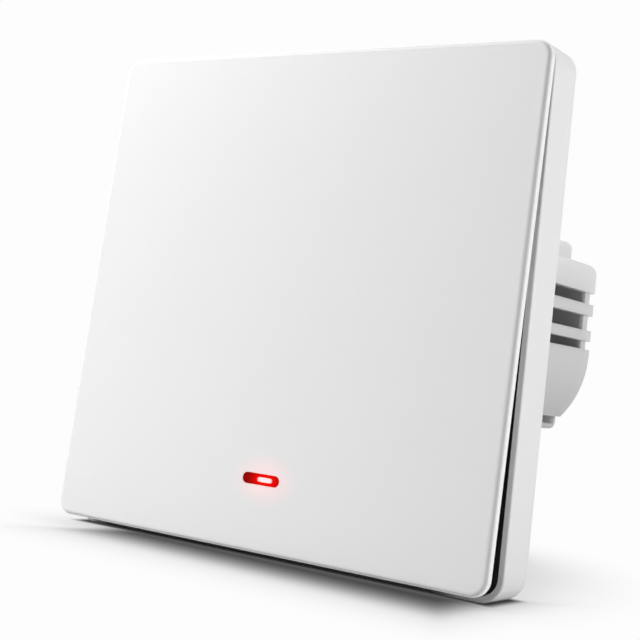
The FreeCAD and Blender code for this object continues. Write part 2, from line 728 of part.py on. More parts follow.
def make_carrier():
    """The dark plate that bears the panel: windows, lip, hinge lugs, cups and stakes."""
    half = "(%s - snap_gap)" % OPENING
    radius = "(corner_radius - rim_width - snap_gap)"
    window = "(switch_width / 2 + switch_window_gap)"
    loops = [square_loop(half, radius)]
    loops.append((rounded_rectangle, (("-" + window, window), (
        "(switch_z - %s)" % window, "(switch_z + %s)" % window), "plunger_bore_gap")))
    loops.append((round_hole, ("0", GUIDE_Z, "(guide_stem_radius + guide_hole_gap)")))
    for _, sign in BOTH_SIDES:
        driver = centred("(%sscrew_spacing / 2)" % sign, "driver_window_height")
        loops.append((rounded_rectangle, (centred("0", "driver_window_width"), driver, "spring_wire")))
    for x, z in corners("boss_x", "boss_z"):
        loops.append((round_hole, (x, z, "(screw_radius + screw_hole_gap)")))
    body = slab("carrier_plate", (CARRIER_FRONT, CARRIER_REAR), loops)
    lip_front = "(%s - carrier_lip_height)" % CARRIER_FRONT
    pad(body, (lip_front, CARRIER_FRONT), [
        square_loop(half, radius),
        square_loop("(%s - carrier_lip_width)" % half, "(%s - carrier_lip_width)" % radius)])
    added = []
    taken = []
    for side, sign in BOTH_SIDES:
        lug = mirrored(LUG_INNER, LUG_OUTER, sign)
        axis = (HINGE_Y, "hinge_height")
        added.append(rod("lug_round_" + side, "x", axis, lug, "lug_radius"))
        added.append(box("lug_web_" + side, lug, (HINGE_Y, CARRIER_FRONT),
                         ("(hinge_height - lug_radius)", "(hinge_height + lug_radius)")))
        wide = mirrored("(%s - side_gap)" % LUG_INNER, "(%s + side_gap)" % LUG_OUTER, sign)
        taken.append(rod("lug_bore_" + side, "x", axis, wide, "(pin_radius + pin_clearance)"))
        taken.append(box("lug_mouth_" + side, wide, ("(%s - 2 * lug_radius)" % HINGE_Y, HINGE_Y),
                         centred("hinge_height", "lug_mouth")))
        taken.append(box("ear_window_" + side, mirrored("(ear_inner_x - side_gap)", LUG_INNER, sign),
                         (CARRIER_FRONT, CARRIER_REAR),
                         ("(hinge_height - lug_radius)", "(hinge_height + lug_radius)")))
        hook = (sign + "hook_x - hook_width / 2 - hook_side_margin",
                sign + "hook_x + hook_width / 2 + hook_side_margin")
        hook_low = "(%s - hook_thickness / 2 - hook_window_margin)" % HOOK_Z
        hook_foot = "(%s - hook_bar_width)" % hook_low
        taken.append(box("hook_window_" + side, hook, (CARRIER_FRONT, CARRIER_REAR),
                         (hook_foot, "(%s + hook_thickness / 2 + hook_nose + hook_window_margin)" % HOOK_Z)))
        bar = (hook[0] + " - carrier_lip_width", hook[1] + " + carrier_lip_width")
        added.append(box("hook_bar_" + side, bar, ("(%s - hook_bar_height)" % CARRIER_FRONT, CARRIER_FRONT),
                         (hook_foot + " - carrier_lip_width", hook_low)))
        cup = cut("cup_" + side, rod("cup_outer_" + side, "y", (sign + "cup_x", CUP_Z),
                  ("(%s - cup_height)" % CARRIER_FRONT, CARRIER_FRONT),
                  "(spring_radius + spring_cup_gap + cup_wall)"),
                  [rod("cup_inner_" + side, "y", (sign + "cup_x", CUP_Z),
                       ("(%s - cup_height)" % CARRIER_FRONT, CARRIER_FRONT),
                       "(spring_radius + spring_cup_gap)")])
        added.append(cup)
    for x, z in corners("stake_x", "stake_z"):
        added.append(rod("stake_post", "y", (x, z), (CARRIER_REAR, YOKE_FRONT), "stake_radius"))
        added.append(rod("stake_pin", "y", (x, z), (YOKE_FRONT, "-stake_hole_gap"), "stake_pin_radius"))
    whole = cut("carrier_solid", join("carrier_sum", [body] + added), taken)
    node("carrier", whole)


def module_prism(name, y, inset, rounded=False):
    """The module's outline, cut back by an inset, over a span of depth."""
    pieces = []
    for part, loop in (
        ("main", (rounded_rectangle, (
            ("(%s - module_half_width)" % inset, "(module_half_width - %s)" % inset),
            ("(%s - module_half_height)" % inset, "(module_half_height - %s)" % inset),
            "(module_corner - %s)" % inset))),
        ("shoulder", (rounded_rectangle, (
            ("(%s - shoulder_half_width)" % inset, "(shoulder_half_width - %s)" % inset),
            ("(%s - shoulder_bottom)" % inset, "(shoulder_top - %s)" % inset),
            "(shoulder_corner - %s / 2)" % inset))),
        ("wings", (wing_outline, (inset,))),
    ):
        body = slab(name + "_" + part, y, [loop])
        if rounded:
            soften(body, y[1], "rear_round")
        pieces.append(body)
    return join(name, pieces)


def make_yoke():
    """The steel yoke that screws to the wall box."""
    half = "(plate_width / 2 - frame_wall - yoke_gap)"
    loops = [square_loop(half, "(corner_radius - frame_wall / 2)")]
    for _, sign in BOTH_SIDES:
        place = sign + "screw_spacing / 2"
        reach = "(slot_length / 2 - slot_radius)"
        loops.append((long_hole, (("0", "0"), ("(%s - %s)" % (place, reach), "(%s + %s)" % (place, reach)),
                                  "slot_radius", True)))
        hook = (sign + "hook_x - hook_width / 2 - hook_side_margin",
                sign + "hook_x + hook_width / 2 + hook_side_margin")
        low = "(%s - hook_thickness / 2 - hook_nose - 2 * hook_window_margin)" % HOOK_Z
        high = "(%s + hook_thickness / 2 + 3 * hook_window_margin)" % HOOK_Z
        loops.append((rounded_rectangle, (hook, (low, high), "hook_window_margin")))
    for x, z in corners("stake_x", "stake_z"):
        loops.append((round_hole, (x, z, "(stake_pin_radius + stake_hole_gap)")))
    plate = slab("yoke_plate", (YOKE_FRONT, "0"), loops)
    window = module_prism("yoke_window", (YOKE_FRONT, "0"), "(-window_gap)")
    node("mounting_yoke", cut("yoke_solid", plate, [window]))


LAP_END = "(seam_depth + lap_length)"
LAP_FLOOR = "(seam_depth + lap_length + lap_gap)"


def make_front_housing():
    """The module's front sleeve, with screw blocks and a lap tongue at the seam."""
    outer = module_prism("sleeve_outer", (CARRIER_REAR, "seam_depth"), "0")
    tongue = module_prism("sleeve_tongue", ("seam_depth", LAP_END), "(lap_thickness + lap_gap)")
    inner = module_prism("sleeve_inner", (CARRIER_REAR, LAP_END), "housing_wall")
    walls = cut("sleeve_walls", join("sleeve_sum", [outer, tongue]), [inner])
    blocks = []
    pilots = []
    for x, z in corners("boss_x", "boss_z"):
        spans = []
        for place, half in ((x, "module_half_width"), (z, "module_half_height")):
            sign = "-" if place.startswith("-") else ""
            inside = "(%s - boss_radius)" % place.lstrip("-")
            spans.append(mirrored(inside, "(%s - 0.9 * housing_wall)" % half, sign))
        blocks.append(box("screw_block", spans[0], (CARRIER_REAR, "control_board_front"), spans[1]))
        pilots.append(rod("screw_pilot", "y", (x, z), (CARRIER_REAR, "control_board_front"),
                          "(screw_radius + pin_clearance)"))
    whole = cut("sleeve_solid", join("sleeve_blocks", [walls] + blocks), pilots)
    node("front_housing", whole)


def pole_x(index):
    return "((%d - (pole_count - 1) / 2) * pole_pitch)" % index


WIRE_Y = ("(%s + wire_entry_front)" % POWER_REAR, "(%s + wire_entry_front + wire_entry_depth)" % POWER_REAR)
TERMINAL_Z = "((terminal_bottom + terminal_top) / 2)"


def make_rear_housing():
    """The module's rear cup: vents in the wings, wire entries, driver holes, posts."""
    outer = module_prism("cup_outer", ("seam_depth", "module_depth"), "0", True)
    cavity = module_prism("cup_cavity", (LAP_FLOOR, HOUSING_FLOOR), "housing_wall")
    rebate = module_prism("cup_rebate", ("seam_depth", LAP_FLOOR), "lap_thickness")
    posts = []
    for x, z in corners("boss_x", "boss_z"):
        posts.append(rod("board_post", "y", (x, z), (POWER_REAR, HOUSING_FLOOR), "spacer_radius"))
    shell = join("cup_shell", [cut("cup_walls", outer, [cavity, rebate])] + posts)
    holes = []
    wing_inside = "(wing_half_width - 2 * housing_wall)"
    wing_outside = "(wing_half_width + housing_wall)"
    for side, sign in BOTH_SIDES:
        top = "vent_top"
        for height, rib in (("vent_one_height", "vent_rib_one"), ("vent_two_height", "vent_rib_two"),
                            ("vent_three_height", "0")):
            low = "(%s - %s)" % (top, height)
            holes.append(box("vent_" + side, mirrored(wing_inside, wing_outside, sign),
                             ("vent_front", "(module_depth - vent_rear_margin)"), (low, top)))
            shallow = mirrored("(wing_half_width - vent_recess)", wing_outside, sign)
            holes.append(box("vent_strip_" + side, shallow, ("vent_front", "module_depth"), (low, top)))
            corner = mirrored("(wing_half_width - rib_end_width)", wing_outside, sign)
            holes.append(box("rib_end_" + side, corner,
                             ("(module_depth - rib_end_depth)", "module_depth"), (low, top)))
            top = "(%s - %s)" % (low, rib)
        slot = mirrored("(shoulder_half_width - underslot_depth)", wing_outside, sign)
        holes.append(box("underslot_" + side, slot,
                         ("underslot_front", "(module_depth - underslot_rear_margin)"),
                         ("(-wing_bottom - underslot_height)", "-wing_bottom")))
    for index in range(-2, 3):
        place = "(%d * rear_vent_pitch)" % index
        holes.append(box("rear_vent", centred(place, "rear_vent_width"), (HOUSING_FLOOR, "module_depth"),
                         centred("rear_vent_z", "rear_vent_length")))
    for index in range(4):
        holes.append(box("wire_window", centred(pole_x(index), "wire_entry_width"), WIRE_Y,
                         ("(-module_half_height)", "(housing_wall - module_half_height)")))
        holes.append(rod("driver_hole", "y", (pole_x(index), TERMINAL_Z),
                         (HOUSING_FLOOR, "module_depth"), "driver_hole_radius"))
    node("rear_housing", cut("cup_solid", shell, holes))


def make_switch():
    """The press switch on the control board and its plunger."""
    side = centred("0", "switch_width")
    up = centred("switch_z", "switch_width")
    block = box("switch_block", side, (SWITCH_FRONT, "control_board_front"), up)
    bore_floor = "(%s + plunger_bore_depth)" % SWITCH_FRONT
    bore = rod("switch_bore", "y", ("0", "switch_z"), (SWITCH_FRONT, bore_floor),
               "(plunger_radius + plunger_bore_gap)")
    node("switch_body", cut("switch_solid", block, [bore]))
    node("switch_plunger", rod("plunger", "y", ("0", "switch_z"),
                               (PLUNGER_TOP, "(%s + plunger_seat)" % SWITCH_FRONT), "plunger_radius"))


def make_springs():
    """The two coil springs that push the panel's foot forward."""
    mean = "(spring_radius - spring_wire)"
    front = "(%s - hinge_standoff * %s - (cup_drop - spring_radius) * %s)" % (HINGE_Y, TILT_COS, TILT_SIN)
    start = "(%s + spring_end_gap + spring_wire)" % front
    rear = "(%s - spring_wire)" % CARRIER_FRONT
    for side, sign in BOTH_SIDES:
        path = doc.addObject("Part::Helix", "spring_path_" + side)
        bind(path, "Radius", mean)
        bind(path, "Height", "(%s) - (%s)" % (rear, start))
        bind(path, "Pitch", "(%s - %s) / spring_turns" % (rear, start))
        ring = doc.addObject("Part::Circle", "spring_ring_" + side)
        bind(ring, "Radius", "spring_wire")
        ring.Placement = Placement(Vector(), Rotation(Vector(1, 0, 0), 90))
        bind(ring, "Placement.Base.x", mean)
        doc.recompute()
        wire = doc.addObject("Part::Sweep", "spring_wire_" + side)
        wire.Sections = [ring]
        wire.Spine = (path, ["Edge1"])
        wire.Solid = True
        wire.Frenet = True
        wire.Placement = Placement(Vector(), AXIS_TURNS["y"])
        bind(wire, "Placement.Base.x", sign + "cup_x")
        bind(wire, "Placement.Base.y", start)
        bind(wire, "Placement.Base.z", CUP_Z)
        node("return_spring_" + side, wire)


def make_boards():
    """Both boards, the indicator lamp, the spacers, the radio and the pin header."""
    for name, front, rear in (("control_board", "control_board_front", BOARD_REAR),
                              ("power_board", "power_board_front", POWER_REAR)):
        half = ("-board_half_width", "board_half_width")
        up = ("-board_half_height", "board_half_height")
        node(name, slab(name + "_plate", (front, rear), [
            (rounded_rectangle, (half, up, "spacer_bore"))]))
    node("status_led", box("led", centred("0", "led_length"),
                           ("(control_board_front - led_height)", "control_board_front"),
                           centred(GUIDE_Z, "led_width")))
    spacers = []
    for x, z in corners("boss_x", "boss_z"):
        span = (BOARD_REAR, "power_board_front")
        spacers.append(cut("spacer", rod("spacer_bar", "y", (x, z), span, "spacer_radius"),
                           [rod("spacer_hole", "y", (x, z), span, "spacer_bore")]))
    node("board_spacers", group("spacer_group", spacers))
    radio_rear = "(%s + radio_board_thickness)" % BOARD_REAR
    node("radio_board", box("radio", centred("0", "radio_width"), (BOARD_REAR, radio_rear),
                            centred("0", "radio_height")))
    node("radio_shield", box("shield", ("(radio_shield_margin - radio_width / 2)",
                                        "(radio_width / 2 - radio_shield_margin - radio_antenna_length)"),
                             (radio_rear, "(%s + radio_shield_height)" % radio_rear),
                             ("(radio_shield_margin - radio_height / 2)",
                              "(radio_height / 2 - radio_shield_margin)")))
    base = box("header_block", centred("0", "(header_pin_count * header_pitch)"),
               (BOARD_REAR, "(%s + header_body_depth)" % BOARD_REAR), centred("header_z", "header_pitch"))
    pins = []
    holes = []
    for index in range(5):
        place = "((%d - (header_pin_count - 1) / 2) * header_pitch)" % index
        span = (BOARD_REAR, "power_board_front")
        pins.append(box("header_pin", centred(place, "header_pin_width"), span,
                        centred("header_z", "header_pin_width")))
        wide = "(header_pin_width + 2 * header_pin_gap)"
        holes.append(box("header_hole", centred(place, wide), span, centred("header_z", wide)))
    node("header_base", cut("header_solid", base, holes))
    node("header_pins", group("header_pin_group", pins))


def make_power_parts():
    """What stands on the rear of the power board."""
    node("relay", box("relay_block", centred("relay_x", "relay_length"),
                      (POWER_REAR, "(%s + relay_height)" % POWER_REAR), centred("relay_z", "relay_width")))
    middle = "(%s + transformer_depth / 2)" % POWER_REAR
    core_y = centred(middle, "transformer_core_depth")
    core = box("core_block", centred("transformer_x", "transformer_core_width"), core_y,
               centred("transformer_z", "transformer_core_height"))
    windows = []
    for side, sign in BOTH_SIDES:
        place = "(transformer_x + %s(transformer_leg + transformer_window_width) / 2)" % (sign or "1 * ")
        windows.append(box("core_window_" + side, centred(place, "transformer_window_width"), core_y,
                           centred("transformer_z", "transformer_window_height")))
    node("transformer_core", cut("core_solid", core, windows))
    coil_width = "(transformer_leg + 2 * transformer_window_width - 2 * transformer_gap)"
    coil_z = centred("transformer_z", "(transformer_window_height - 2 * transformer_gap)")
    coil = box("coil_block", centred("transformer_x", coil_width),
               (POWER_REAR, "(%s + transformer_depth)" % POWER_REAR), coil_z)
    leg = box("coil_hole", centred("transformer_x", "(transformer_leg + 2 * transformer_gap)"),
              centred(middle, "(transformer_core_depth + 2 * transformer_gap)"), coil_z)
    node("transformer_coil", cut("coil_solid", coil, [leg]))
    node("capacitor", rod("capacitor_can", "y", ("capacitor_x", "capacitor_z"),
                          (POWER_REAR, "(%s + capacitor_length)" % POWER_REAR), "capacitor_radius"))
    disc_y = "(%s + varistor_standoff + varistor_radius)" % POWER_REAR
    disc = [rod("varistor_disc", "z", ("varistor_x", disc_y),
                centred("varistor_z", "varistor_thickness"), "varistor_radius")]
    bar_y = "(%s + fuse_standoff + fuse_radius)" % POWER_REAR
    bar = [rod("fuse_bar", "x", (bar_y, "fuse_z"), centred("fuse_x", "fuse_length"), "fuse_radius")]
    for side, sign in BOTH_SIDES:
        place = "(varistor_x + %svaristor_radius / 2)" % (sign or "1 * ")
        disc.append(rod("varistor_lead_" + side, "y", (place, "varistor_z"),
                        (POWER_REAR, disc_y), "lead_radius"))
        turn = "(%s(fuse_length / 2 + lead_reach))" % sign
        end = mirrored("(fuse_length / 2)", "(fuse_length / 2 + lead_reach)", sign)
        bar.append(rod("fuse_lead_out_" + side, "x", (bar_y, "fuse_z"),
                       ("(fuse_x + %s)" % end[0], "(fuse_x + %s)" % end[1]), "lead_radius"))
        bar.append(rod("fuse_lead_down_" + side, "y", ("(fuse_x + %s)" % turn, "fuse_z"),
                       (POWER_REAR, bar_y), "lead_radius"))
        elbow = doc.addObject("Part::Sphere", "fuse_elbow_" + side)
        bind(elbow, "Radius", "1.15 * lead_radius")
        bind(elbow, "Placement.Base.x", "(fuse_x + %s)" % turn)
        bind(elbow, "Placement.Base.y", bar_y)
        bind(elbow, "Placement.Base.z", "fuse_z")
        bar.append(elbow)
    node("varistor", join("varistor_solid", disc))
    node("fuse_resistor", join("fuse_solid", bar))
    node("film_capacitor", box("film_block", centred("film_capacitor_x", "film_capacitor_length"),
                               (POWER_REAR, "(%s + film_capacitor_height)" % POWER_REAR),
                               centred("film_capacitor_z", "film_capacitor_width")))


def make_terminals():
    """The wiring terminals: one block, four clamps and four screws."""
    half = "(pole_count * pole_pitch / 2 + terminal_end_wall)"
    block = box("terminal_block_body", ("-" + half, half), (POWER_REAR, TERMINAL_REAR),
                ("terminal_bottom", "terminal_top"))
    cell_y = ("(%s + terminal_wall)" % POWER_REAR, "(%s + terminal_wall + clamp_cell_depth)" % POWER_REAR)
    cell_z = ("(terminal_bottom + terminal_wall)", "(terminal_top - terminal_wall)")
    clamp_y = ("(%s + clamp_gap)" % cell_y[0], "(%s - clamp_gap)" % cell_y[1])
    clamp_z = ("(%s + clamp_gap)" % cell_z[0], "(%s - clamp_gap)" % cell_z[1])
    seat = "(%s + terminal_head_seat)" % cell_y[1]
    holes = []
    clamps = []
    screws = []
    for index in range(4):
        x = pole_x(index)
        holes.append(box("cell", centred(x, "terminal_cell_width"), cell_y, cell_z))
        holes.append(box("entry", centred(x, "wire_entry_width"), WIRE_Y, ("terminal_bottom", cell_z[0])))
        holes.append(rod("screw_well", "y", (x, TERMINAL_Z), (cell_y[1], TERMINAL_REAR),
                         "(terminal_head_radius + driver_hole_gap)"))
        cage = box("cage", centred(x, "(terminal_cell_width - 2 * clamp_gap)"), clamp_y, clamp_z)
        mouth = box("cage_mouth", centred(x, "(terminal_cell_width - 2 * clamp_gap - 2 * clamp_wall)"),
                    ("(%s + clamp_wall)" % clamp_y[0], "(%s - clamp_wall)" % clamp_y[1]), clamp_z)
        thread = rod("cage_thread", "y", (x, TERMINAL_Z), ("(%s - clamp_wall)" % clamp_y[1], clamp_y[1]),
                     "(terminal_screw_radius + pin_clearance)")
        clamps.append(cut("clamp", cage, [mouth, thread]))
        head = rod("terminal_head", "y", (x, TERMINAL_Z), (seat, "(%s + terminal_head_height)" % seat),
                   "terminal_head_radius")
        shank = rod("terminal_shank", "y", (x, TERMINAL_Z), ("(%s - terminal_screw_length)" % seat, seat),
                    "terminal_screw_radius")
        slot = box("terminal_slot", centred(x, "(3 * terminal_head_radius)"),
                   ("(%s + terminal_head_height - screw_slot_depth)" % seat,
                    "(%s + terminal_head_height)" % seat), centred(TERMINAL_Z, "screw_slot_width"))
        screws.append(cut("terminal_screw", join("terminal_screw_sum", [head, shank]), [slot]))
    node("terminal_block", cut("terminal_block_solid", block, holes))
    node("terminal_clamps", group("clamp_group", clamps))
    node("terminal_screws", group("terminal_screw_group", screws))


def make_carrier_screws():
    """Four screws that hold the module to the carrier."""
    screws = []
    top = "(%s - screw_head_height)" % CARRIER_FRONT
    for x, z in corners("boss_x", "boss_z"):
        head = rod("carrier_head", "y", (x, z), (top, CARRIER_FRONT), "screw_head_radius")
        shank = rod("carrier_shank", "y", (x, z),
                    (CARRIER_FRONT, "(%s + screw_length)" % CARRIER_FRONT), "screw_radius")
        reach = "(1.2 * screw_head_radius)"
        cross = []
        for width, height in ((reach, "screw_slot_width"), ("screw_slot_width", reach)):
            cross.append(box("carrier_cross", centred(x, width), (top, "(%s + screw_slot_depth)" % top),
                             centred(z, height)))
        screws.append(cut("carrier_screw", join("carrier_screw_sum", [head, shank]), cross))
    node("carrier_screws", group("carrier_screw_group", screws))


make_outer_frame()
make_carrier()
make_yoke()
make_front_housing()
make_rear_housing()
make_push_panel()
make_light_guide()
make_switch()
make_springs()
make_boards()
make_power_parts()
make_terminals()
make_carrier_screws()
doc.recompute()

problems = []
for thing in doc.Objects:
    if "Invalid" in thing.State or "Error" in thing.State:
        problems.append("%s is in state %s" % (thing.Name, thing.State))
for name, thing in nodes.items():
    if thing.Shape.isNull() or not thing.Shape.isValid() or not thing.Shape.Solids:
        problems.append("%s has a bad shape" % name)
if problems:
    raise RuntimeError("; ".join(problems))

os.makedirs("parts", exist_ok=True)
for name, thing in nodes.items():
    thing.Shape.exportStep("parts/%s.step" % name)
    size = thing.Shape.BoundBox
    print("%-20s %2d solid(s) %8.1f mm3  X %6.2f %6.2f  Y %6.2f %6.2f  Z %6.2f %6.2f" % (
        name, len(thing.Shape.Solids), thing.Shape.Volume,
        size.XMin, size.XMax, size.YMin, size.YMax, size.ZMin, size.ZMax))
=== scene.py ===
import math
import bpy
import numpy as np
from mathutils import Matrix, Vector


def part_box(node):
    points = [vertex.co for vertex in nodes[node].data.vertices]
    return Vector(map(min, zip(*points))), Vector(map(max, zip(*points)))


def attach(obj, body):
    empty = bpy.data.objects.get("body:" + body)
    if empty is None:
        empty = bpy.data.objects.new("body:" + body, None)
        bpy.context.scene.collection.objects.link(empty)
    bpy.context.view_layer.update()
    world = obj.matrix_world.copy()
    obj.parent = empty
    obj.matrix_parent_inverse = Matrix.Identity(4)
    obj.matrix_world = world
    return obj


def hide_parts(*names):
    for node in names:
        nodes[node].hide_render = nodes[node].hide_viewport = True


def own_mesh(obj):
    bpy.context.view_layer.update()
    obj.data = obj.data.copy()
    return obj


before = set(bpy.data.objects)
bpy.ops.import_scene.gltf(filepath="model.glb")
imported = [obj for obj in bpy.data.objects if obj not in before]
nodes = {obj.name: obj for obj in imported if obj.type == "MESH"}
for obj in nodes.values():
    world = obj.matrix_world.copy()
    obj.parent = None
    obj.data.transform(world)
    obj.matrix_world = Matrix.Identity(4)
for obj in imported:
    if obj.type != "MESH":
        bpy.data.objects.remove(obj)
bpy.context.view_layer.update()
print("frame loaded:", len(nodes), "nodes")


# Camera: where the photo was taken from, in metres, and how it was turned
cameraSettings = {
    "place": (0.1292801, -0.1916972, -0.0125573),
    "yaw": -0.6002,
    "pitch": -0.081,
    "roll": 0.1133,
    "focalPixels": 1340.61,
    "imagePixels": 640,
    "centrePixel": (317.23, 268.463),
    "sensor": 36.0,
    "clip": (0.005, 20.0),
}


def makeCamera(s):
    # a camera that looks along +Y, turned by yaw about Z, then tipped and rolled in its own frame
    level = Matrix(((1, 0, 0), (0, 0, -1), (0, 1, 0)))
    turn = Matrix.Rotation(s["roll"], 3, "Z") @ Matrix.Rotation(s["pitch"], 3, "X")
    turn = turn @ level @ Matrix.Rotation(s["yaw"], 3, "Z")
    right, down, ahead = turn
    data = bpy.data.cameras.new("photoCamera")
    data.sensor_width = s["sensor"]
    data.lens = s["focalPixels"] / s["imagePixels"] * s["sensor"]
    half = s["imagePixels"] / 2
    data.shift_x = (half - s["centrePixel"][0]) / s["imagePixels"]
    data.shift_y = (s["centrePixel"][1] - half) / s["imagePixels"]
    data.clip_start, data.clip_end = s["clip"]
    camera = bpy.data.objects.new("photoCamera", data)
    turned = Matrix((right, -down, -ahead)).transposed().to_4x4()
    camera.matrix_world = Matrix.Translation(s["place"]) @ turned
    bpy.context.scene.collection.objects.link(camera)
    bpy.context.scene.camera = camera


makeCamera(cameraSettings)
bpy.context.scene.view_settings.view_transform = "Standard"
print("camera set")


# Shader helpers
def link(tree, a, b):
    tree.links.new(a, b)


def calc(tree, operation, *values):
    # one step of arithmetic on numbers or sockets
    node = tree.nodes.new("ShaderNodeMath")
    node.operation = operation
    for socket, value in zip(node.inputs, values):
        if isinstance(value, (int, float)):
            socket.default_value = value
        else:
            link(tree, value, socket)
    return node.outputs[0]


def vectorCalc(tree, operation, *values):
    # one step of arithmetic on vectors or sockets
    node = tree.nodes.new("ShaderNodeVectorMath")
    node.operation = operation
    for socket, value in zip(node.inputs, values):
        if isinstance(value, bpy.types.NodeSocket):
            link(tree, value, socket)
        else:
            socket.default_value = value
    return node


def remap(tree, value, start, end, low=0.0, high=1.0, kind="LINEAR"):
    # from one range to another, held at both ends
    node = tree.nodes.new("ShaderNodeMapRange")
    node.interpolation_type = kind
    for label, given in (("From Min", start), ("From Max", end), ("To Min", low), ("To Max", high)):
        if isinstance(given, (int, float)):
            node.inputs[label].default_value = given
        else:
            link(tree, given, node.inputs[label])
    link(tree, value, node.inputs["Value"])
    return node.outputs["Result"]


def objectPlace(tree):
    # the place on the object in metres, as three numbers
    place = tree.nodes.new("ShaderNodeTexCoord")
    parts = tree.nodes.new("ShaderNodeSeparateXYZ")
    link(tree, place.outputs["Object"], parts.inputs[0])
    return parts.outputs["X"], parts.outputs["Y"], parts.outputs["Z"]


def scaleBase(material, factor):
    # the grain's colour, darker or brighter by a factor that changes over the surface
    tree = material.node_tree
    scaled = vectorCalc(tree, "SCALE", tree.nodes["grain"].outputs["Color"])
    link(tree, factor, scaled.inputs["Scale"])
    link(tree, scaled.outputs[0], tree.nodes["Principled BSDF"].inputs["Base Color"])


def newGroup(name, inputs, outputs):
    group = bpy.data.node_groups.new(name, "ShaderNodeTree")
    for label, kind, value in inputs:
        socket = group.interface.new_socket(name=label, in_out="INPUT", socket_type=kind)
        socket.default_value = value
    for label, kind in outputs:
        group.interface.new_socket(name=label, in_out="OUTPUT", socket_type=kind)
    return group, group.nodes.new("NodeGroupInput"), group.nodes.new("NodeGroupOutput")


def makeGrainGroup():
    # two sizes of noise: a broad one that shifts the colour, a fine one for roughness and relief
    group, given, out = newGroup(
        "surfaceGrain",
        (("Color", "NodeSocketColor", (1, 1, 1, 1)), ("Other Color", "NodeSocketColor", (1, 1, 1, 1)),
         ("Broad Scale", "NodeSocketFloat", 60.0), ("Fine Scale", "NodeSocketFloat", 2000.0),
         ("Stretch", "NodeSocketVector", (1, 1, 1)), ("Rough Low", "NodeSocketFloat", 0.3),
         ("Rough High", "NodeSocketFloat", 0.4)),
        (("Color", "NodeSocketColor"), ("Roughness", "NodeSocketFloat"), ("Height", "NodeSocketFloat")))
    place = group.nodes.new("ShaderNodeTexCoord")
    stretch = group.nodes.new("ShaderNodeVectorMath")
    stretch.operation = "MULTIPLY"
    link(group, place.outputs["Object"], stretch.inputs[0])
    link(group, given.outputs["Stretch"], stretch.inputs[1])
    broad = group.nodes.new("ShaderNodeTexNoise")
    broad.inputs["Detail"].default_value = 3.0
    fine = group.nodes.new("ShaderNodeTexNoise")
    fine.inputs["Detail"].default_value = 4.0
    for noise, scale in ((broad, "Broad Scale"), (fine, "Fine Scale")):
        link(group, stretch.outputs[0], noise.inputs["Vector"])
        link(group, given.outputs[scale], noise.inputs["Scale"])
    mix = group.nodes.new("ShaderNodeMix")
    mix.data_type = "RGBA"
    link(group, broad.outputs["Fac"], mix.inputs["Factor"])
    link(group, given.outputs["Color"], mix.inputs["A"])
    link(group, given.outputs["Other Color"], mix.inputs["B"])
    link(group, mix.outputs["Result"], out.inputs["Color"])
    rough = group.nodes.new("ShaderNodeMapRange")
    link(group, fine.outputs["Fac"], rough.inputs["Value"])
    link(group, given.outputs["Rough Low"], rough.inputs["To Min"])
    link(group, given.outputs["Rough High"], rough.inputs["To Max"])
    link(group, rough.outputs["Result"], out.inputs["Roughness"])
    link(group, fine.outputs["Fac"], out.inputs["Height"])
    return group


grainGroup = makeGrainGroup()

# what a finish has where it doesn't say otherwise
plainFinish = {
    "spread": 0.04,
    "broadScale": 60,
    "fineScale": 2500,
    "stretch": (1, 1, 1),
    "metallic": 0,
    "specular": 0.5,
    "milky": 0,
    "milkDepth": 0.004,
    "reliefStrength": 0.3,
    "relief": 0.00001,
}


def surface(name, finish):
    # a grained surface: a pair of close colours, a band of roughness and a relief depth in metres
    s = {**plainFinish, **finish}
    material = bpy.data.materials.new(name)
    material.use_nodes = True
    tree = material.node_tree
    shader = tree.nodes["Principled BSDF"]
    grain = tree.nodes.new("ShaderNodeGroup")
    grain.node_tree = grainGroup
    grain.name = "grain"
    grain.inputs["Color"].default_value = (*[c * (1 - s["spread"]) for c in s["color"]], 1)
    grain.inputs["Other Color"].default_value = (*[min(1, c * (1 + s["spread"])) for c in s["color"]], 1)
    grain.inputs["Broad Scale"].default_value = s["broadScale"]
    grain.inputs["Fine Scale"].default_value = s["fineScale"]
    grain.inputs["Stretch"].default_value = s["stretch"]
    grain.inputs["Rough Low"].default_value, grain.inputs["Rough High"].default_value = s["rough"]
    link(tree, grain.outputs["Color"], shader.inputs["Base Color"])
    link(tree, grain.outputs["Roughness"], shader.inputs["Roughness"])
    shader.inputs["Metallic"].default_value = s["metallic"]
    shader.inputs["Specular IOR Level"].default_value = s["specular"]
    shader.inputs["Subsurface Weight"].default_value = s["milky"]
    shader.inputs["Subsurface Radius"].default_value = (1, 1, 1)
    shader.inputs["Subsurface Scale"].default_value = s["milkDepth"]
    bump = tree.nodes.new("ShaderNodeBump")
    bump.inputs["Strength"].default_value = s["reliefStrength"]
    bump.inputs["Distance"].default_value = s["relief"]
    link(tree, grain.outputs["Height"], bump.inputs["Height"])
    link(tree, bump.outputs["Normal"], shader.inputs["Normal"])
    return material


def paint(material, *names):
    for name in names:
        slots = nodes[name].data.materials
        if not len(slots):
            slots.append(material)
        for index in range(len(slots)):
            slots[index] = material


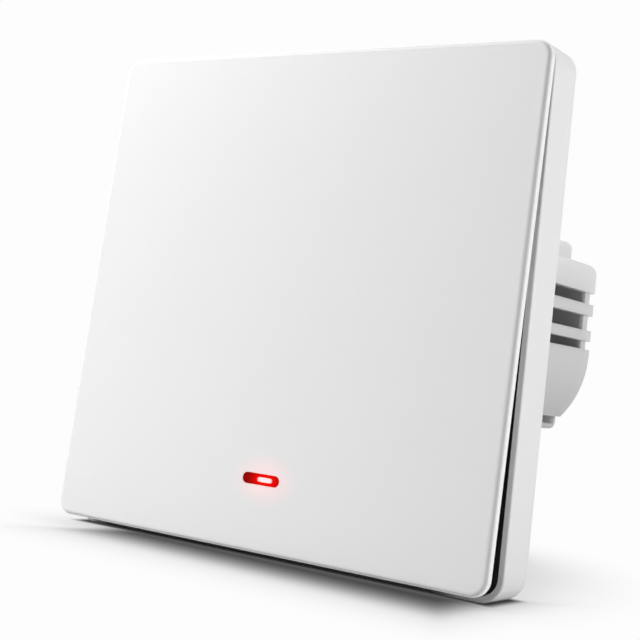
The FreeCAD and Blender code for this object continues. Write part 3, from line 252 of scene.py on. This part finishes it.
finishes = {
    "plateWhite": {"color": (0.84, 0.84, 0.84), "spread": 0.01, "rough": (0.42, 0.5), "specular": 0.3,
                   "relief": 0.000003},
    "panelWhite": {"color": (0.84, 0.84, 0.84), "spread": 0.006, "rough": (0.5, 0.58), "specular": 0.2,
                   "relief": 0.000002},
    "moduleWhite": {"color": (0.72, 0.72, 0.72), "spread": 0.015, "rough": (0.42, 0.55), "relief": 0.00001,
                    "milky": 0.8},
    "carrierBlack": {"color": (0.018, 0.018, 0.019), "rough": (0.5, 0.65), "relief": 0.00001},
    "zincPlate": {"color": (0.6, 0.6, 0.61), "metallic": 1.0, "rough": (0.28, 0.42), "stretch": (1, 1, 12),
                  "relief": 0.00001},
    "springSteel": {"color": (0.62, 0.62, 0.63), "metallic": 1.0, "rough": (0.2, 0.32)},
    "screwSteel": {"color": (0.66, 0.66, 0.66), "metallic": 1.0, "rough": (0.22, 0.35)},
    "brassClamp": {"color": (0.72, 0.55, 0.25), "metallic": 1.0, "rough": (0.25, 0.4)},
    "terminalBlack": {"color": (0.03, 0.03, 0.032), "rough": (0.4, 0.55), "relief": 0.00001},
    "switchBlack": {"color": (0.02, 0.02, 0.02), "rough": (0.35, 0.45)},
    "plungerGrey": {"color": (0.42, 0.42, 0.43), "rough": (0.35, 0.45)},
    "boardGreen": {"color": (0.02, 0.16, 0.06), "spread": 0.25, "broadScale": 250, "rough": (0.25, 0.4)},
    "radioBlue": {"color": (0.015, 0.05, 0.2), "spread": 0.25, "broadScale": 300, "rough": (0.25, 0.4)},
    "shieldTin": {"color": (0.7, 0.7, 0.69), "metallic": 1.0, "rough": (0.25, 0.4), "stretch": (10, 1, 1)},
    "relayBlue": {"color": (0.03, 0.14, 0.45), "rough": (0.3, 0.4)},
    "coreIron": {"color": (0.09, 0.085, 0.08), "rough": (0.5, 0.7)},
    "coilTape": {"color": (0.75, 0.5, 0.06), "rough": (0.35, 0.45)},
    "capacitorSleeve": {"color": (0.02, 0.03, 0.07), "rough": (0.25, 0.35)},
    "varistorBlue": {"color": (0.02, 0.1, 0.4), "rough": (0.3, 0.45), "relief": 0.00003},
    "resistorGreen": {"color": (0.2, 0.35, 0.24), "rough": (0.5, 0.6)},
    "filmYellow": {"color": (0.8, 0.58, 0.04), "rough": (0.3, 0.4)},
    "solderTin": {"color": (0.72, 0.72, 0.71), "metallic": 1.0, "rough": (0.18, 0.32)},
    "chipBlack": {"color": (0.025, 0.025, 0.027), "rough": (0.45, 0.6)},
}
painted = {
    "plateWhite": ("outer_frame",),
    "panelWhite": ("push_panel",),
    "moduleWhite": ("front_housing", "rear_housing"),
    "carrierBlack": ("carrier",),
    "zincPlate": ("mounting_yoke",),
    "springSteel": ("return_spring_left", "return_spring_right"),
    "screwSteel": ("terminal_screws", "carrier_screws"),
    "brassClamp": ("terminal_clamps", "header_pins"),
    "terminalBlack": ("terminal_block", "header_base"),
    "switchBlack": ("switch_body",),
    "plungerGrey": ("switch_plunger", "board_spacers"),
    "boardGreen": ("control_board", "power_board"),
    "radioBlue": ("radio_board",),
    "shieldTin": ("radio_shield",),
    "relayBlue": ("relay",),
    "coreIron": ("transformer_core",),
    "coilTape": ("transformer_coil",),
    "capacitorSleeve": ("capacitor",),
    "varistorBlue": ("varistor",),
    "resistorGreen": ("fuse_resistor",),
    "filmYellow": ("film_capacitor",),
}
materials = {name: surface(name, spec) for name, spec in finishes.items()}
for name, members in painted.items():
    paint(materials[name], *members)


# Module: painted light and shade, a little paler toward its top and darker toward its foot, fitted to the
# photo's light
modulePaintedShade = {"height": (-0.012, 0.013), "tone": (0.80, 1.06)}


def makeModulePaintedShade(s):
    material = materials["moduleWhite"]
    tree = material.node_tree
    # painted light and shade: the base colour scaled by height, paler above and darker below
    scaleBase(material, remap(tree, objectPlace(tree)[2], *s["height"], *s["tone"]))


makeModulePaintedShade(modulePaintedShade)


# Indicator: the pill glows red, brightest where the lamp sits behind it; a painted glow of its light lies on
# the panel round it
indicator = {
    "tilt": math.radians(2.7),
    "hinge": (0.00075, -0.0059093, 0.0385),
    "drop": 0.0687,
    "front": -0.00405,
    "pillPlace": 0.0009,
    "pillHalf": (0.0040, 0.004, 0.0022),
    "pillSoft": 0.3,
    "hotPlace": 0.0008,
    "hotHalf": (0.0016, 0.006, 0.00044),
    "hotSoft": 0.12,
    # painted glow on the panel round the pill: the lamp's light, shown as the panel's own emission
    "paintedGlowPlace": 0.0006,
    "paintedGlowHalf": (0.0078, 0.008, 0.0052),
    "paintedGlowSoft": 0.0,
    "pill": {"color": (0.28, 0.004, 0.002), "rough": (0.3, 0.4), "specular": 0.0},
    "lens": {"color": (0.9, 0.5, 0.45), "rough": (0.1, 0.2)},
    "lensLight": (1.0, 0.1, 0.08),
    "lensStrength": 2.0,
    "dark": (0.02, 0.0, 0.0),
    "bright": (0.62, 0.0, 0.0),
    "hot": (1.0, 0.86, 0.86),
    "paintedGlow": (0.22, 0.0, 0.005),
}


def pillCentre(s):
    # a point on the panel, below the hinge by the drop, turned back by the tilt
    x, y, z = s["hinge"]
    y += s["front"] * math.cos(s["tilt"]) - s["drop"] * math.sin(s["tilt"])
    z -= s["drop"] * math.cos(s["tilt"]) + s["front"] * math.sin(s["tilt"])
    return Vector((x, y, z))


def shapeMask(tree, centre, half, soft, bar=False):
    # 1 at the centre of an ellipsoid, falling smoothly to 0 at its edge; a bar goes by fourth
    # powers, so its sides are straight and its ends rounded
    place = tree.nodes.new("ShaderNodeTexCoord")
    shifted = vectorCalc(tree, "SUBTRACT", place.outputs["Object"], centre).outputs[0]
    scaled = vectorCalc(tree, "DIVIDE", shifted, half).outputs[0]
    if bar:
        square = vectorCalc(tree, "MULTIPLY", scaled, scaled).outputs[0]
        size = vectorCalc(tree, "DOT_PRODUCT", square, square)
    else:
        size = vectorCalc(tree, "LENGTH", scaled)
    return remap(tree, size.outputs["Value"], 1.0, soft, kind="SMOOTHSTEP")


def mixColor(tree, factor, a, b):
    mix = tree.nodes.new("ShaderNodeMix")
    mix.data_type = "RGBA"
    link(tree, factor, mix.inputs["Factor"])
    for socket, value in ((mix.inputs["A"], a), (mix.inputs["B"], b)):
        if isinstance(value, tuple):
            socket.default_value = (*value, 1)
        else:
            link(tree, value, socket)
    return mix.outputs["Result"]


# Panel edge: a thin painted shade line runs round the face where its rounding begins, and a painted
# highlight brightens the rim beyond it
panelEdgeShadeAndHighlight = {
    "middle": 0.0383,
    "inner": (0.0401, 0.0392),
    "radius": 0.0029,
    "turnover": 0.01,
    "lineLeft": -0.00028,
    "lineRight": -0.00026,
    "width": (0.00008, 0.00026),
    "dark": (0.86, 0.76),
    "bright": 1.16,
}


def makePanelEdgeShadeAndHighlight(s, hinge, tilt):
    # distance from the rounded outline, measured in the panel's own plane
    material = materials["panelWhite"]
    tree = material.node_tree
    x, y, z = objectPlace(tree)
    lower = calc(tree, "MULTIPLY", calc(tree, "SUBTRACT", z, hinge[2]), -math.cos(tilt))
    nearer = calc(tree, "MULTIPLY", calc(tree, "SUBTRACT", y, hinge[1]), -math.sin(tilt))
    down = calc(tree, "SUBTRACT", calc(tree, "ADD", lower, nearer), s["middle"])
    beyond = [calc(tree, "MAXIMUM", calc(tree, "SUBTRACT", calc(tree, "ABSOLUTE", value), half), 0.0)
              for value, half in zip((x, down), s["inner"])]
    squares = [calc(tree, "MULTIPLY", value, value) for value in beyond]
    edge = calc(tree, "SUBTRACT", calc(tree, "SQRT", calc(tree, "ADD", *squares)), s["radius"])
    # 0 toward the upper left and 1 toward the lower right, as the line differs there
    side = remap(tree, calc(tree, "ADD", x, down), -s["turnover"], s["turnover"], kind="SMOOTHSTEP")
    line = remap(tree, side, 0.0, 1.0, s["lineLeft"], s["lineRight"])
    dark = remap(tree, side, 0.0, 1.0, *s["dark"])
    off = calc(tree, "ABSOLUTE", calc(tree, "SUBTRACT", edge, line))
    # painted shade: darker along the line
    tone = remap(tree, off, *s["width"], dark, kind="SMOOTHSTEP")
    inner, outer = (s["lineRight"] + width for width in s["width"])
    # painted highlight: brighter on the rim beyond the line
    paintedHighlight = remap(tree, edge, inner, outer, 1.0, s["bright"])
    scaleBase(material, calc(tree, "MULTIPLY", tone, paintedHighlight))


# Frame foot: the strip of the frame's face below the panel's foot lies in its deep shade, which is painted
# dark into its colour
frameFootPaintedShade = {
    "top": (-0.0404, -0.0412),
    "front": (-0.0060, -0.0070),
    "side": (0.0400, 0.0340),
    "shift": -0.0035,
    "dark": 0.15,
}


def makeFrameFootPaintedShade(s):
    material = materials["plateWhite"]
    tree = material.node_tree
    x, y, z = objectPlace(tree)
    away = calc(tree, "ABSOLUTE", calc(tree, "SUBTRACT", x, s["shift"]))
    masks = [remap(tree, value, *limits, kind="SMOOTHSTEP")
             for value, limits in ((z, s["top"]), (y, s["front"]), (away, s["side"]))]
    # painted shade: the masked strip darkened to the dark factor
    mask = calc(tree, "MULTIPLY", calc(tree, "MULTIPLY", *masks[:2]), masks[2])
    scaleBase(material, calc(tree, "SUBTRACT", 1.0, calc(tree, "MULTIPLY", mask, 1 - s["dark"])))


def makeIndicator(s):
    centre = pillCentre(s)
    material = surface("indicatorRed", s["pill"])
    tree = material.node_tree
    shader = tree.nodes["Principled BSDF"]
    body = shapeMask(tree, centre + Vector((s["pillPlace"], 0, 0)), s["pillHalf"], s["pillSoft"])
    hot = shapeMask(tree, centre + Vector((s["hotPlace"], 0, 0)), s["hotHalf"], s["hotSoft"], bar=True)
    color = mixColor(tree, hot, mixColor(tree, body, s["dark"], s["bright"]), s["hot"])
    link(tree, color, shader.inputs["Emission Color"])
    shader.inputs["Emission Strength"].default_value = 1.0
    paint(material, "light_guide")
    lens = surface("lampLens", s["lens"])
    lensShader = lens.node_tree.nodes["Principled BSDF"]
    lensShader.inputs["Emission Color"].default_value = (*s["lensLight"], 1)
    lensShader.inputs["Emission Strength"].default_value = s["lensStrength"]
    paint(lens, "status_led")
    # a painted glow on the panel round the pill, standing for the lamp's light in the plastic
    panelTree = materials["panelWhite"].node_tree
    panelShader = panelTree.nodes["Principled BSDF"]
    paintedGlow = shapeMask(panelTree, centre + Vector((s["paintedGlowPlace"], 0, 0)), s["paintedGlowHalf"], s["paintedGlowSoft"])
    link(panelTree, mixColor(panelTree, paintedGlow, (0, 0, 0), s["paintedGlow"]), panelShader.inputs["Emission Color"])
    panelShader.inputs["Emission Strength"].default_value = 1.0


makeIndicator(indicator)
makePanelEdgeShadeAndHighlight(panelEdgeShadeAndHighlight, indicator["hinge"], indicator["tilt"])
makeFrameFootPaintedShade(frameFootPaintedShade)
print("materials painted:", len(bpy.data.materials))


# Mesh helpers: every surface is a grid of points, rows along it and columns round it
def makeMesh(name, points, faces, *finish):
    mesh = bpy.data.meshes.new(name)
    mesh.from_pydata(points.tolist(), [], faces)
    mesh.shade_smooth()
    piece = bpy.data.objects.new(name, mesh)
    bpy.context.scene.collection.objects.link(piece)
    for material in finish:
        mesh.materials.append(material)
    return piece


def tubeFaces(rows, columns):
    # quads between neighbouring rows, and one flat face at each end
    index = np.arange(rows * columns).reshape(rows, columns)
    after = np.roll(index, -1, axis=1)
    quads = np.stack((index[:-1], after[:-1], after[1:], index[1:]), axis=-1).reshape(-1, 4)
    return quads.tolist() + [index[0][::-1].tolist(), index[-1].tolist()]


def outward(points, faces):
    # the faces turned so that the volume they enclose counts as positive
    a, b, c, d = np.moveaxis(points[np.array(faces[:-2])], 1, 0)
    total = np.sum(a * (np.cross(b, c) + np.cross(c, d)))
    return faces if total > 0 else [face[::-1] for face in faces]


def addTube(name, grid, *finish):
    rows, columns = grid.shape[:2]
    points = grid.reshape(-1, 3)
    return makeMesh(name, points, outward(points, tubeFaces(rows, columns)), *finish)


def roundedSection(half, corner, count=6):
    # a rectangle with quarter circles at its corners, once round
    turns = np.concatenate([np.linspace(q, q + 1, count) for q in range(4)]) * np.pi / 2
    signs = np.repeat(np.array(((1, 1), (-1, 1), (-1, -1), (1, -1)), float), count, axis=0)
    ring = np.column_stack((np.cos(turns), np.sin(turns)))
    return signs * (np.array(half) - corner) + ring * corner


# Return springs: a wire on a helix whose rise stops at both ends, so the end turns lie flat
springs = {
    "places": {"Left": (-0.016, -0.0275), "Right": (0.016, -0.0275)},
    "front": -0.01138,
    "rear": -0.00402,
    "coilRadius": 0.00225,
    "wireRadius": 0.00025,
    "turns": 6.0,
    "flatTurns": 0.9,
    "evenRise": 0.65,
    "steps": 240,
    "sides": 10,
    "keep": 0.67,
}


def makeSpring(side, s):
    x, z = s["places"][side]
    angle = np.linspace(0, 2 * np.pi * s["turns"], s["steps"])
    flat = 2 * np.pi * s["flatTurns"]
    rise = np.clip((angle - flat) / (angle[-1] - 2 * flat), 0, 1)
    rise = rise * rise * (3 - 2 * rise) * (1 - s["evenRise"]) + rise * s["evenRise"]
    low, high = s["front"] + s["wireRadius"], s["rear"] - s["wireRadius"]
    outer = np.column_stack((np.cos(angle), np.zeros_like(angle), np.sin(angle)))
    path = outer * s["coilRadius"] + np.column_stack((np.full_like(angle, x), low + (high - low) * rise,
                                                      np.full_like(angle, z)))
    ahead = np.gradient(path, axis=0)
    ahead /= np.linalg.norm(ahead, axis=1)[:, None]
    across = np.cross(ahead, outer)
    turn = np.linspace(0, 2 * np.pi, s["sides"], endpoint=False)[None, :, None]
    grid = path[:, None] + s["wireRadius"] * (np.cos(turn) * outer[:, None] + np.sin(turn) * across[:, None])
    piece = addTube("springWire" + side, grid, materials["springSteel"])
    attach(piece, "base")
    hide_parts("return_spring_" + side.lower())
    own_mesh(piece)


for side in springs["places"]:
    makeSpring(side, springs)
print("springs made")


# Moulded cases on the boards, each a stack of rounded outlines along Y: depth and inset of each one
blocks = {
    "relayCase": {
        "node": "relay", "slot": "relay_blue", "corner": 0.0007, "finish": "relayBlue",
        "profile": ((0.0, 0.0004), (0.0003, 0.0), (0.0018, 0.0), (0.0020, 0.00015), (0.0118, 0.00025),
                    (0.0123, 0.0004), (0.0125, 0.0008)),
    },
    "filmCase": {
        "node": "film_capacitor", "slot": "film_yellow", "corner": 0.0006, "finish": "filmYellow",
        "profile": ((0.0, 0.0003), (0.0002, 0.0), (0.0090, 0.0), (0.0094, 0.00015), (0.0095, 0.0005)),
    },
    "shieldCan": {
        "node": "radio_shield", "slot": "yoke_steel", "corner": 0.0005, "finish": "shieldTin",
        "profile": ((0.0, 0.0), (-0.0016, 0.0), (-0.0019, 0.0001), (-0.0020, 0.0004), (-0.0020, 0.0011),
                    (-0.0019, 0.0013), (-0.0019, 0.0030)),
    },
}


def makeBlock(name, s):
    low, high = (np.array(v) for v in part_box(s["node"]))
    start = low[1] if s["profile"][-1][0] > 0 else high[1]
    middle = (low + high) / 2
    half = (high - low) / 2
    rows = []
    for depth, inset in s["profile"]:
        ring = roundedSection((half[0] - inset, half[2] - inset), s["corner"])
        rows.append(np.column_stack((middle[0] + ring[:, 0], np.full(len(ring), start + depth),
                                     middle[2] + ring[:, 1])))
    piece = addTube(name, np.array(rows), materials[s["finish"]])
    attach(piece, "base")
    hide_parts(s["node"])


for name, s in blocks.items():
    makeBlock(name, s)

# Winding: turns of tape-covered wire round the bobbin, a rounded outline whose size ripples along Z
winding = {"node": "transformer_coil", "slot": "coil_yellow", "corner": 0.0012, "turns": 13,
           "depth": 0.00012, "steps": 8}


def makeWinding(s):
    low, high = (np.array(v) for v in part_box(s["node"]))
    middle = (low + high) / 2
    half = (high - low) / 2
    along = np.linspace(0, 1, s["turns"] * s["steps"] + 1)
    inset = s["depth"] * (1 - np.abs(np.sin(np.pi * along * s["turns"])))
    rings = np.array([roundedSection((half[0] - value, half[1] - value), s["corner"]) for value in inset])
    height = np.broadcast_to((low[2] + (high[2] - low[2]) * along)[:, None], rings.shape[:2])
    grid = np.stack((middle[0] + rings[..., 0], middle[1] + rings[..., 1], height), axis=-1)
    piece = addTube("coilWinding", grid, materials["coilTape"])
    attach(piece, "base")
    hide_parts(s["node"])


makeWinding(winding)

# Can capacitor: a turned profile of radius against depth, with the crimp groove and the sunken top
can = {
    "node": "capacitor", "slot": "capacitor_foil",
    "profile": ((0.0, 0.0034), (0.0002, 0.0038), (0.0006, 0.0040), (0.0012, 0.0040), (0.0015, 0.0036),
                (0.0019, 0.0036), (0.0022, 0.0040), (0.0108, 0.0040), (0.0113, 0.0038), (0.0115, 0.0034),
                (0.0114, 0.0031), (0.0114, 0.0008)),
    "sides": 40,
    "topRows": 3,
}


def makeCan(s):
    low, high = (np.array(v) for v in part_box(s["node"]))
    depth, radius = np.array(s["profile"]).T
    angle = np.linspace(0, 2 * np.pi, s["sides"], endpoint=False)
    x = (low[0] + high[0]) / 2 + radius[:, None] * np.cos(angle)
    z = (low[2] + high[2]) / 2 + radius[:, None] * np.sin(angle)
    y = np.broadcast_to((low[1] + depth)[:, None], x.shape)
    grid = np.stack((x, y, z), axis=-1)
    piece = addTube("canCapacitor", grid, materials["capacitorSleeve"], materials["shieldTin"])
    index = np.zeros(len(piece.data.polygons), np.int32)
    index[(len(depth) - 1 - s["topRows"]) * s["sides"]:-2] = 1
    index[-1] = 1
    piece.data.polygons.foreach_set("material_index", index)
    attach(piece, "base")
    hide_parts(s["node"])


makeCan(can)
print("board parts made")


# Solder joints: small cones with hollow flanks on the power board's front, one to a lead; the
# profile gives depth and radius, the places X and Z
solder = {
    "board": "power_board",
    "profile": ((0.0, 0.0009), (0.00015, 0.00075), (0.0004, 0.0005), (0.0007, 0.00036), (0.0009, 0.0002)),
    "sides": 12,
    "places": (
        (-0.0205, 0.0055), (-0.0205, -0.0015), (-0.0062, 0.0055), (-0.0062, -0.0015), (-0.0134, 0.0020),
        (0.0002, 0.0055), (0.0051, 0.0055), (0.0100, 0.0055), (0.0002, -0.0035), (0.0100, -0.0035),
        (0.0168, -0.0010), (0.0202, -0.0010), (-0.0174, 0.0135), (-0.0124, 0.0135), (0.0110, 0.0125),
        (0.0210, 0.0125), (-0.0059, 0.0135), (0.0041, 0.0135), (-0.0135, -0.0170), (-0.0045, -0.0170),
        (0.0045, -0.0170), (0.0135, -0.0170), (-0.0135, -0.0190), (-0.0045, -0.0190), (0.0045, -0.0190),
        (0.0135, -0.0190),
    ),
}
# Small parts: chips with metal ends on the control board's front; each part has X, Z, half its
# length, half its height and its thickness, and each station a place along it, a size and a finish
chips = {
    "board": "control_board",
    "parts": (
        (-0.0105, 0.0090, 0.0030, 0.0030, 0.0009), (-0.0060, 0.0120, 0.0008, 0.0004, 0.00045),
        (-0.0060, 0.0104, 0.0008, 0.0004, 0.00045), (-0.0060, 0.0088, 0.0008, 0.0004, 0.00045),
        (-0.0060, 0.0072, 0.0008, 0.0004, 0.00045), (0.0080, 0.0100, 0.0024, 0.0019, 0.0014),
        (0.0130, 0.0115, 0.0010, 0.0006, 0.0005), (0.0130, 0.0092, 0.0010, 0.0006, 0.0005),
        (0.0165, 0.0105, 0.0016, 0.0008, 0.0011), (-0.0150, -0.0060, 0.0008, 0.0004, 0.00045),
        (-0.0150, -0.0076, 0.0008, 0.0004, 0.00045), (-0.0120, -0.0066, 0.0012, 0.0007, 0.0008),
        (0.0030, -0.0175, 0.0008, 0.0004, 0.00045), (0.0030, -0.0191, 0.0008, 0.0004, 0.00045),
    ),
    "corner": 0.1,
    "cornerSteps": 3,
    "stations": ((-1.0, 0.90, 1), (-0.98, 1.0, 1), (-0.70, 1.0, 1), (-0.68, 0.93, 0), (0.68, 0.93, 0),
                 (0.70, 1.0, 1), (0.98, 1.0, 1), (1.0, 0.90, 1)),
}


def mergeTubes(name, grids, *finish):
    # several closed grids of one shape, joined into a single mesh
    rows, columns = grids[0].shape[:2]
    faces = outward(grids[0].reshape(-1, 3), tubeFaces(rows, columns))
    quads, ends = np.array(faces[:-2]), np.array(faces[-2:])
    merged = []
    for first in range(0, len(grids) * rows * columns, rows * columns):
        merged += (quads + first).tolist() + (ends + first).tolist()
    return makeMesh(name, np.concatenate([grid.reshape(-1, 3) for grid in grids]), merged, *finish)


def makeSolder(s):
    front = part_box(s["board"])[0][1]
    depth, radius = np.array(s["profile"]).T
    angle = np.linspace(0, 2 * np.pi, s["sides"], endpoint=False)
    ring = radius[:, None, None] * np.stack((np.cos(angle), np.zeros_like(angle), np.sin(angle)), axis=-1)
    joint = ring - depth[:, None, None] * np.array((0, 1, 0))
    piece = mergeTubes("solderJoints", [joint + np.array((x, front, z)) for x, z in s["places"]],
                       materials["solderTin"])
    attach(piece, "base")


def makeChips(s):
    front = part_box(s["board"])[0][1]
    grids = []
    for x, z, halfX, halfZ, tall in s["parts"]:
        rows = []
        for along, size, _ in s["stations"]:
            ring = roundedSection((tall / 2 * size, halfZ * size), s["corner"] * tall, s["cornerSteps"])
            rows.append(np.column_stack((np.full(len(ring), x + along * halfX),
                                         front - tall / 2 + ring[:, 0], z + ring[:, 1])))
        grids.append(np.array(rows))
    piece = mergeTubes("boardChips", grids, materials["chipBlack"], materials["solderTin"])
    ends = np.array([min(a[2], b[2]) for a, b in zip(s["stations"][:-1], s["stations"][1:])], np.int32)
    one = np.concatenate((np.repeat(ends, grids[0].shape[1]), (1, 1)))
    piece.data.polygons.foreach_set("material_index", np.tile(one, len(grids)).astype(np.int32))
    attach(piece, "base")


makeSolder(solder)
makeChips(chips)
print("small parts made")


# Floor, with a painted shadow, and light
studio = {
    "floorHeight": -0.0430,
    "floorSize": 6.0,
    "white": (0.982, 0.982, 0.982),
    "floorPart": 0.86,
    "bounce": (0.74, 0.74, 0.74),
    "fade": (0.0, 0.02),
    # the painted floor shadow: its band, wide shade and contact shadow
    "shadowSide": 0.0364,
    "shadowSteep": 1.7,
    "shadowShift": 0.0045,
    "shadowFront": 0.0210,
    "shadowSlant": 0.065,
    "shadowRear": 0.002,
    "shadowRange": 0.036,
    "shadowStart": 0.011,
    "shadowRound": 0.004,
    "shadowStops": ((0.0, 0.05), (0.14, 0.14), (0.28, 0.38), (0.42, 0.78), (0.56, 0.88), (0.69, 0.94),
                    (0.83, 0.975), (1.0, 0.982)),
    "wideShadowSize": (0.047, 0.07, 0.018),
    "wideShadowFront": 0.010,
    "wideShadowRange": (0.7, 0.6),
    "wideShadowStops": ((0.0, 0.70), (0.17, 0.74), (0.33, 0.83), (0.5, 0.91), (0.67, 0.95), (0.85, 0.982),
                  (1.0, 0.982)),
    "contact": (0.0420, -0.004, 0.006),
    "contactRound": 0.002,
    "contactFade": (-0.0015, 0.002),
    "contactTone": 0.05,
    "floorRough": 0.9,
    "ambient": 0.122,
    "lights": (
        ("key", (-0.29, -0.19, 0.27), (0.0, 0.0, 0.0), 0.12, 1.95),
        ("low", (-0.16, -0.30, 0.0), (0.0, 0.0, -0.01), 0.14, 0.06),
        ("top", (-0.05, 0.066, 0.457), (0.0, -0.01, -0.04), 0.11, 0.72),
        ("right", (0.42, 0.05, 0.06), (0.0, 0.0, 0.0), 0.2, 0.91),
    ),
}


def toneRamp(tree, value, stops):
    node = tree.nodes.new("ShaderNodeValToRGB")
    ramp = node.color_ramp
    ramp.interpolation = "B_SPLINE"
    while len(ramp.elements) < len(stops):
        ramp.elements.new(0.5)
    for element, (place, tone) in zip(ramp.elements, stops):
        element.position = place
        element.color = (tone, tone, tone, 1)
    link(tree, value, node.inputs["Fac"])
    return node.outputs["Color"]


def floorPaintedShadow(tree, s):
    # painted shadow on the floor: dark under the foot, a soft band that reaches forward, a little farther on
    # the right, and a faint wide shade behind the plate; both by the place on the floor
    x, y, _ = objectPlace(tree)
    forward = calc(tree, "MULTIPLY", y, -1.0)
    aside = calc(tree, "ABSOLUTE", calc(tree, "SUBTRACT", x, s["shadowShift"]))
    aside = calc(tree, "MULTIPLY", calc(tree, "SUBTRACT", aside, s["shadowSide"]), s["shadowSteep"])
    ahead = calc(tree, "SUBTRACT", forward, s["shadowFront"])
    ahead = calc(tree, "SUBTRACT", ahead, calc(tree, "MULTIPLY", x, s["shadowSlant"]))
    behind = calc(tree, "ADD", y, s["shadowRear"])
    reach = calc(tree, "SMOOTH_MAX", aside, ahead, s["shadowRound"])
    reach = calc(tree, "SMOOTH_MAX", reach, behind, s["shadowRound"])
    near = calc(tree, "DIVIDE", calc(tree, "ADD", reach, s["shadowStart"]), s["shadowRange"])
    band = toneRamp(tree, near, s["shadowStops"])
    front = calc(tree, "MAXIMUM", calc(tree, "SUBTRACT", forward, s["wideShadowFront"]), 0.0)
    shares = [calc(tree, "DIVIDE", value, size)
              for value, size in zip((x, calc(tree, "MAXIMUM", y, 0.0), front), s["wideShadowSize"])]
    squares = [calc(tree, "MULTIPLY", value, value) for value in shares]
    wide = calc(tree, "SQRT", calc(tree, "ADD", calc(tree, "ADD", *squares[:2]), squares[2]))
    start, span = s["wideShadowRange"]
    wideShadow = toneRamp(tree, calc(tree, "DIVIDE", calc(tree, "SUBTRACT", wide, start), span), s["wideShadowStops"])
    # a near black painted contact shadow right under the frame
    halfX, middle, halfY = s["contact"]
    besideX = calc(tree, "SUBTRACT", calc(tree, "ABSOLUTE", x), halfX)
    besideY = calc(tree, "SUBTRACT", calc(tree, "ABSOLUTE", calc(tree, "SUBTRACT", y, middle)), halfY)
    contactShadowReach = calc(tree, "SMOOTH_MAX", besideX, besideY, s["contactRound"])
    dark = remap(tree, contactShadowReach, *s["contactFade"], s["contactTone"], kind="SMOOTHSTEP")
    return calc(tree, "MINIMUM", calc(tree, "MINIMUM", band, dark), wideShadow), reach


def seenRays(tree):
    # the light paths of the material and its share of rays that show it as it is painted
    paths = tree.nodes.new("ShaderNodeLightPath")
    seen = calc(tree, "MAXIMUM", paths.outputs["Is Camera Ray"], paths.outputs["Is Glossy Ray"])
    return paths, calc(tree, "MAXIMUM", seen, paths.outputs["Is Transmission Ray"])


def makeFloor(s):
    half = s["floorSize"] / 2
    mesh = bpy.data.meshes.new("studioFloor")
    corners = np.array(((-1, -1), (1, -1), (1, 1), (-1, 1)), float) * half
    points = np.column_stack((corners, np.full(4, s["floorHeight"])))
    mesh.from_pydata(points.tolist(), [], [(0, 1, 2, 3)])
    floor = bpy.data.objects.new("studioFloor", mesh)
    bpy.context.scene.collection.objects.link(floor)
    material = bpy.data.materials.new("studioFloor")
    material.use_nodes = True
    tree = material.node_tree
    shader = tree.nodes["Principled BSDF"]
    shader.inputs["Roughness"].default_value = s["floorRough"]
    shader.inputs["Specular IOR Level"].default_value = 0.0
    tone, far = floorPaintedShadow(tree, s)
    # the painted shadow, seen by the camera as the floor's own light
    paintedShadowFloor = tree.nodes.new("ShaderNodeEmission")
    link(tree, tone, paintedShadowFloor.inputs["Color"])
    paths, seen = seenRays(tree)
    # light that bounces sees a plain pale floor, and only the camera sees the painted shade
    color = mixColor(tree, paths.outputs["Is Camera Ray"], s["bounce"], tone)
    link(tree, color, shader.inputs["Base Color"])
    fade = remap(tree, far, *s["fade"], s["floorPart"], kind="SMOOTHSTEP")
    mix = tree.nodes.new("ShaderNodeMixShader")
    link(tree, calc(tree, "MULTIPLY", fade, seen), mix.inputs["Fac"])
    link(tree, shader.outputs[0], mix.inputs[1])
    link(tree, paintedShadowFloor.outputs[0], mix.inputs[2])
    link(tree, mix.outputs[0], tree.nodes["Material Output"].inputs["Surface"])
    mesh.materials.append(material)


def makeWorld(s):
    world = bpy.data.worlds.new("studioWorld")
    bpy.context.scene.world = world
    world.use_nodes = True
    tree = world.node_tree
    air = tree.nodes["Background"]
    air.inputs["Color"].default_value = (1, 1, 1, 1)
    air.inputs["Strength"].default_value = s["ambient"]
    backdrop = tree.nodes.new("ShaderNodeBackground")
    backdrop.inputs["Color"].default_value = (*s["white"], 1)
    backdrop.inputs["Strength"].default_value = 1.0
    mix = tree.nodes.new("ShaderNodeMixShader")
    link(tree, seenRays(tree)[1], mix.inputs["Fac"])
    link(tree, air.outputs[0], mix.inputs[1])
    link(tree, backdrop.outputs[0], mix.inputs[2])
    link(tree, mix.outputs[0], tree.nodes["World Output"].inputs["Surface"])


def makeLights(s):
    for name, place, target, size, power in s["lights"]:
        data = bpy.data.lights.new(name + "Light", "AREA")
        data.shape = "SQUARE"
        data.size = size
        data.energy = power
        lamp = bpy.data.objects.new(name + "Light", data)
        lamp.location = place
        lamp.rotation_euler = (Vector(place) - Vector(target)).to_track_quat("Z", "Y").to_euler()
        bpy.context.scene.collection.objects.link(lamp)


makeFloor(studio)
makeWorld(studio)
makeLights(studio)
print("studio set")
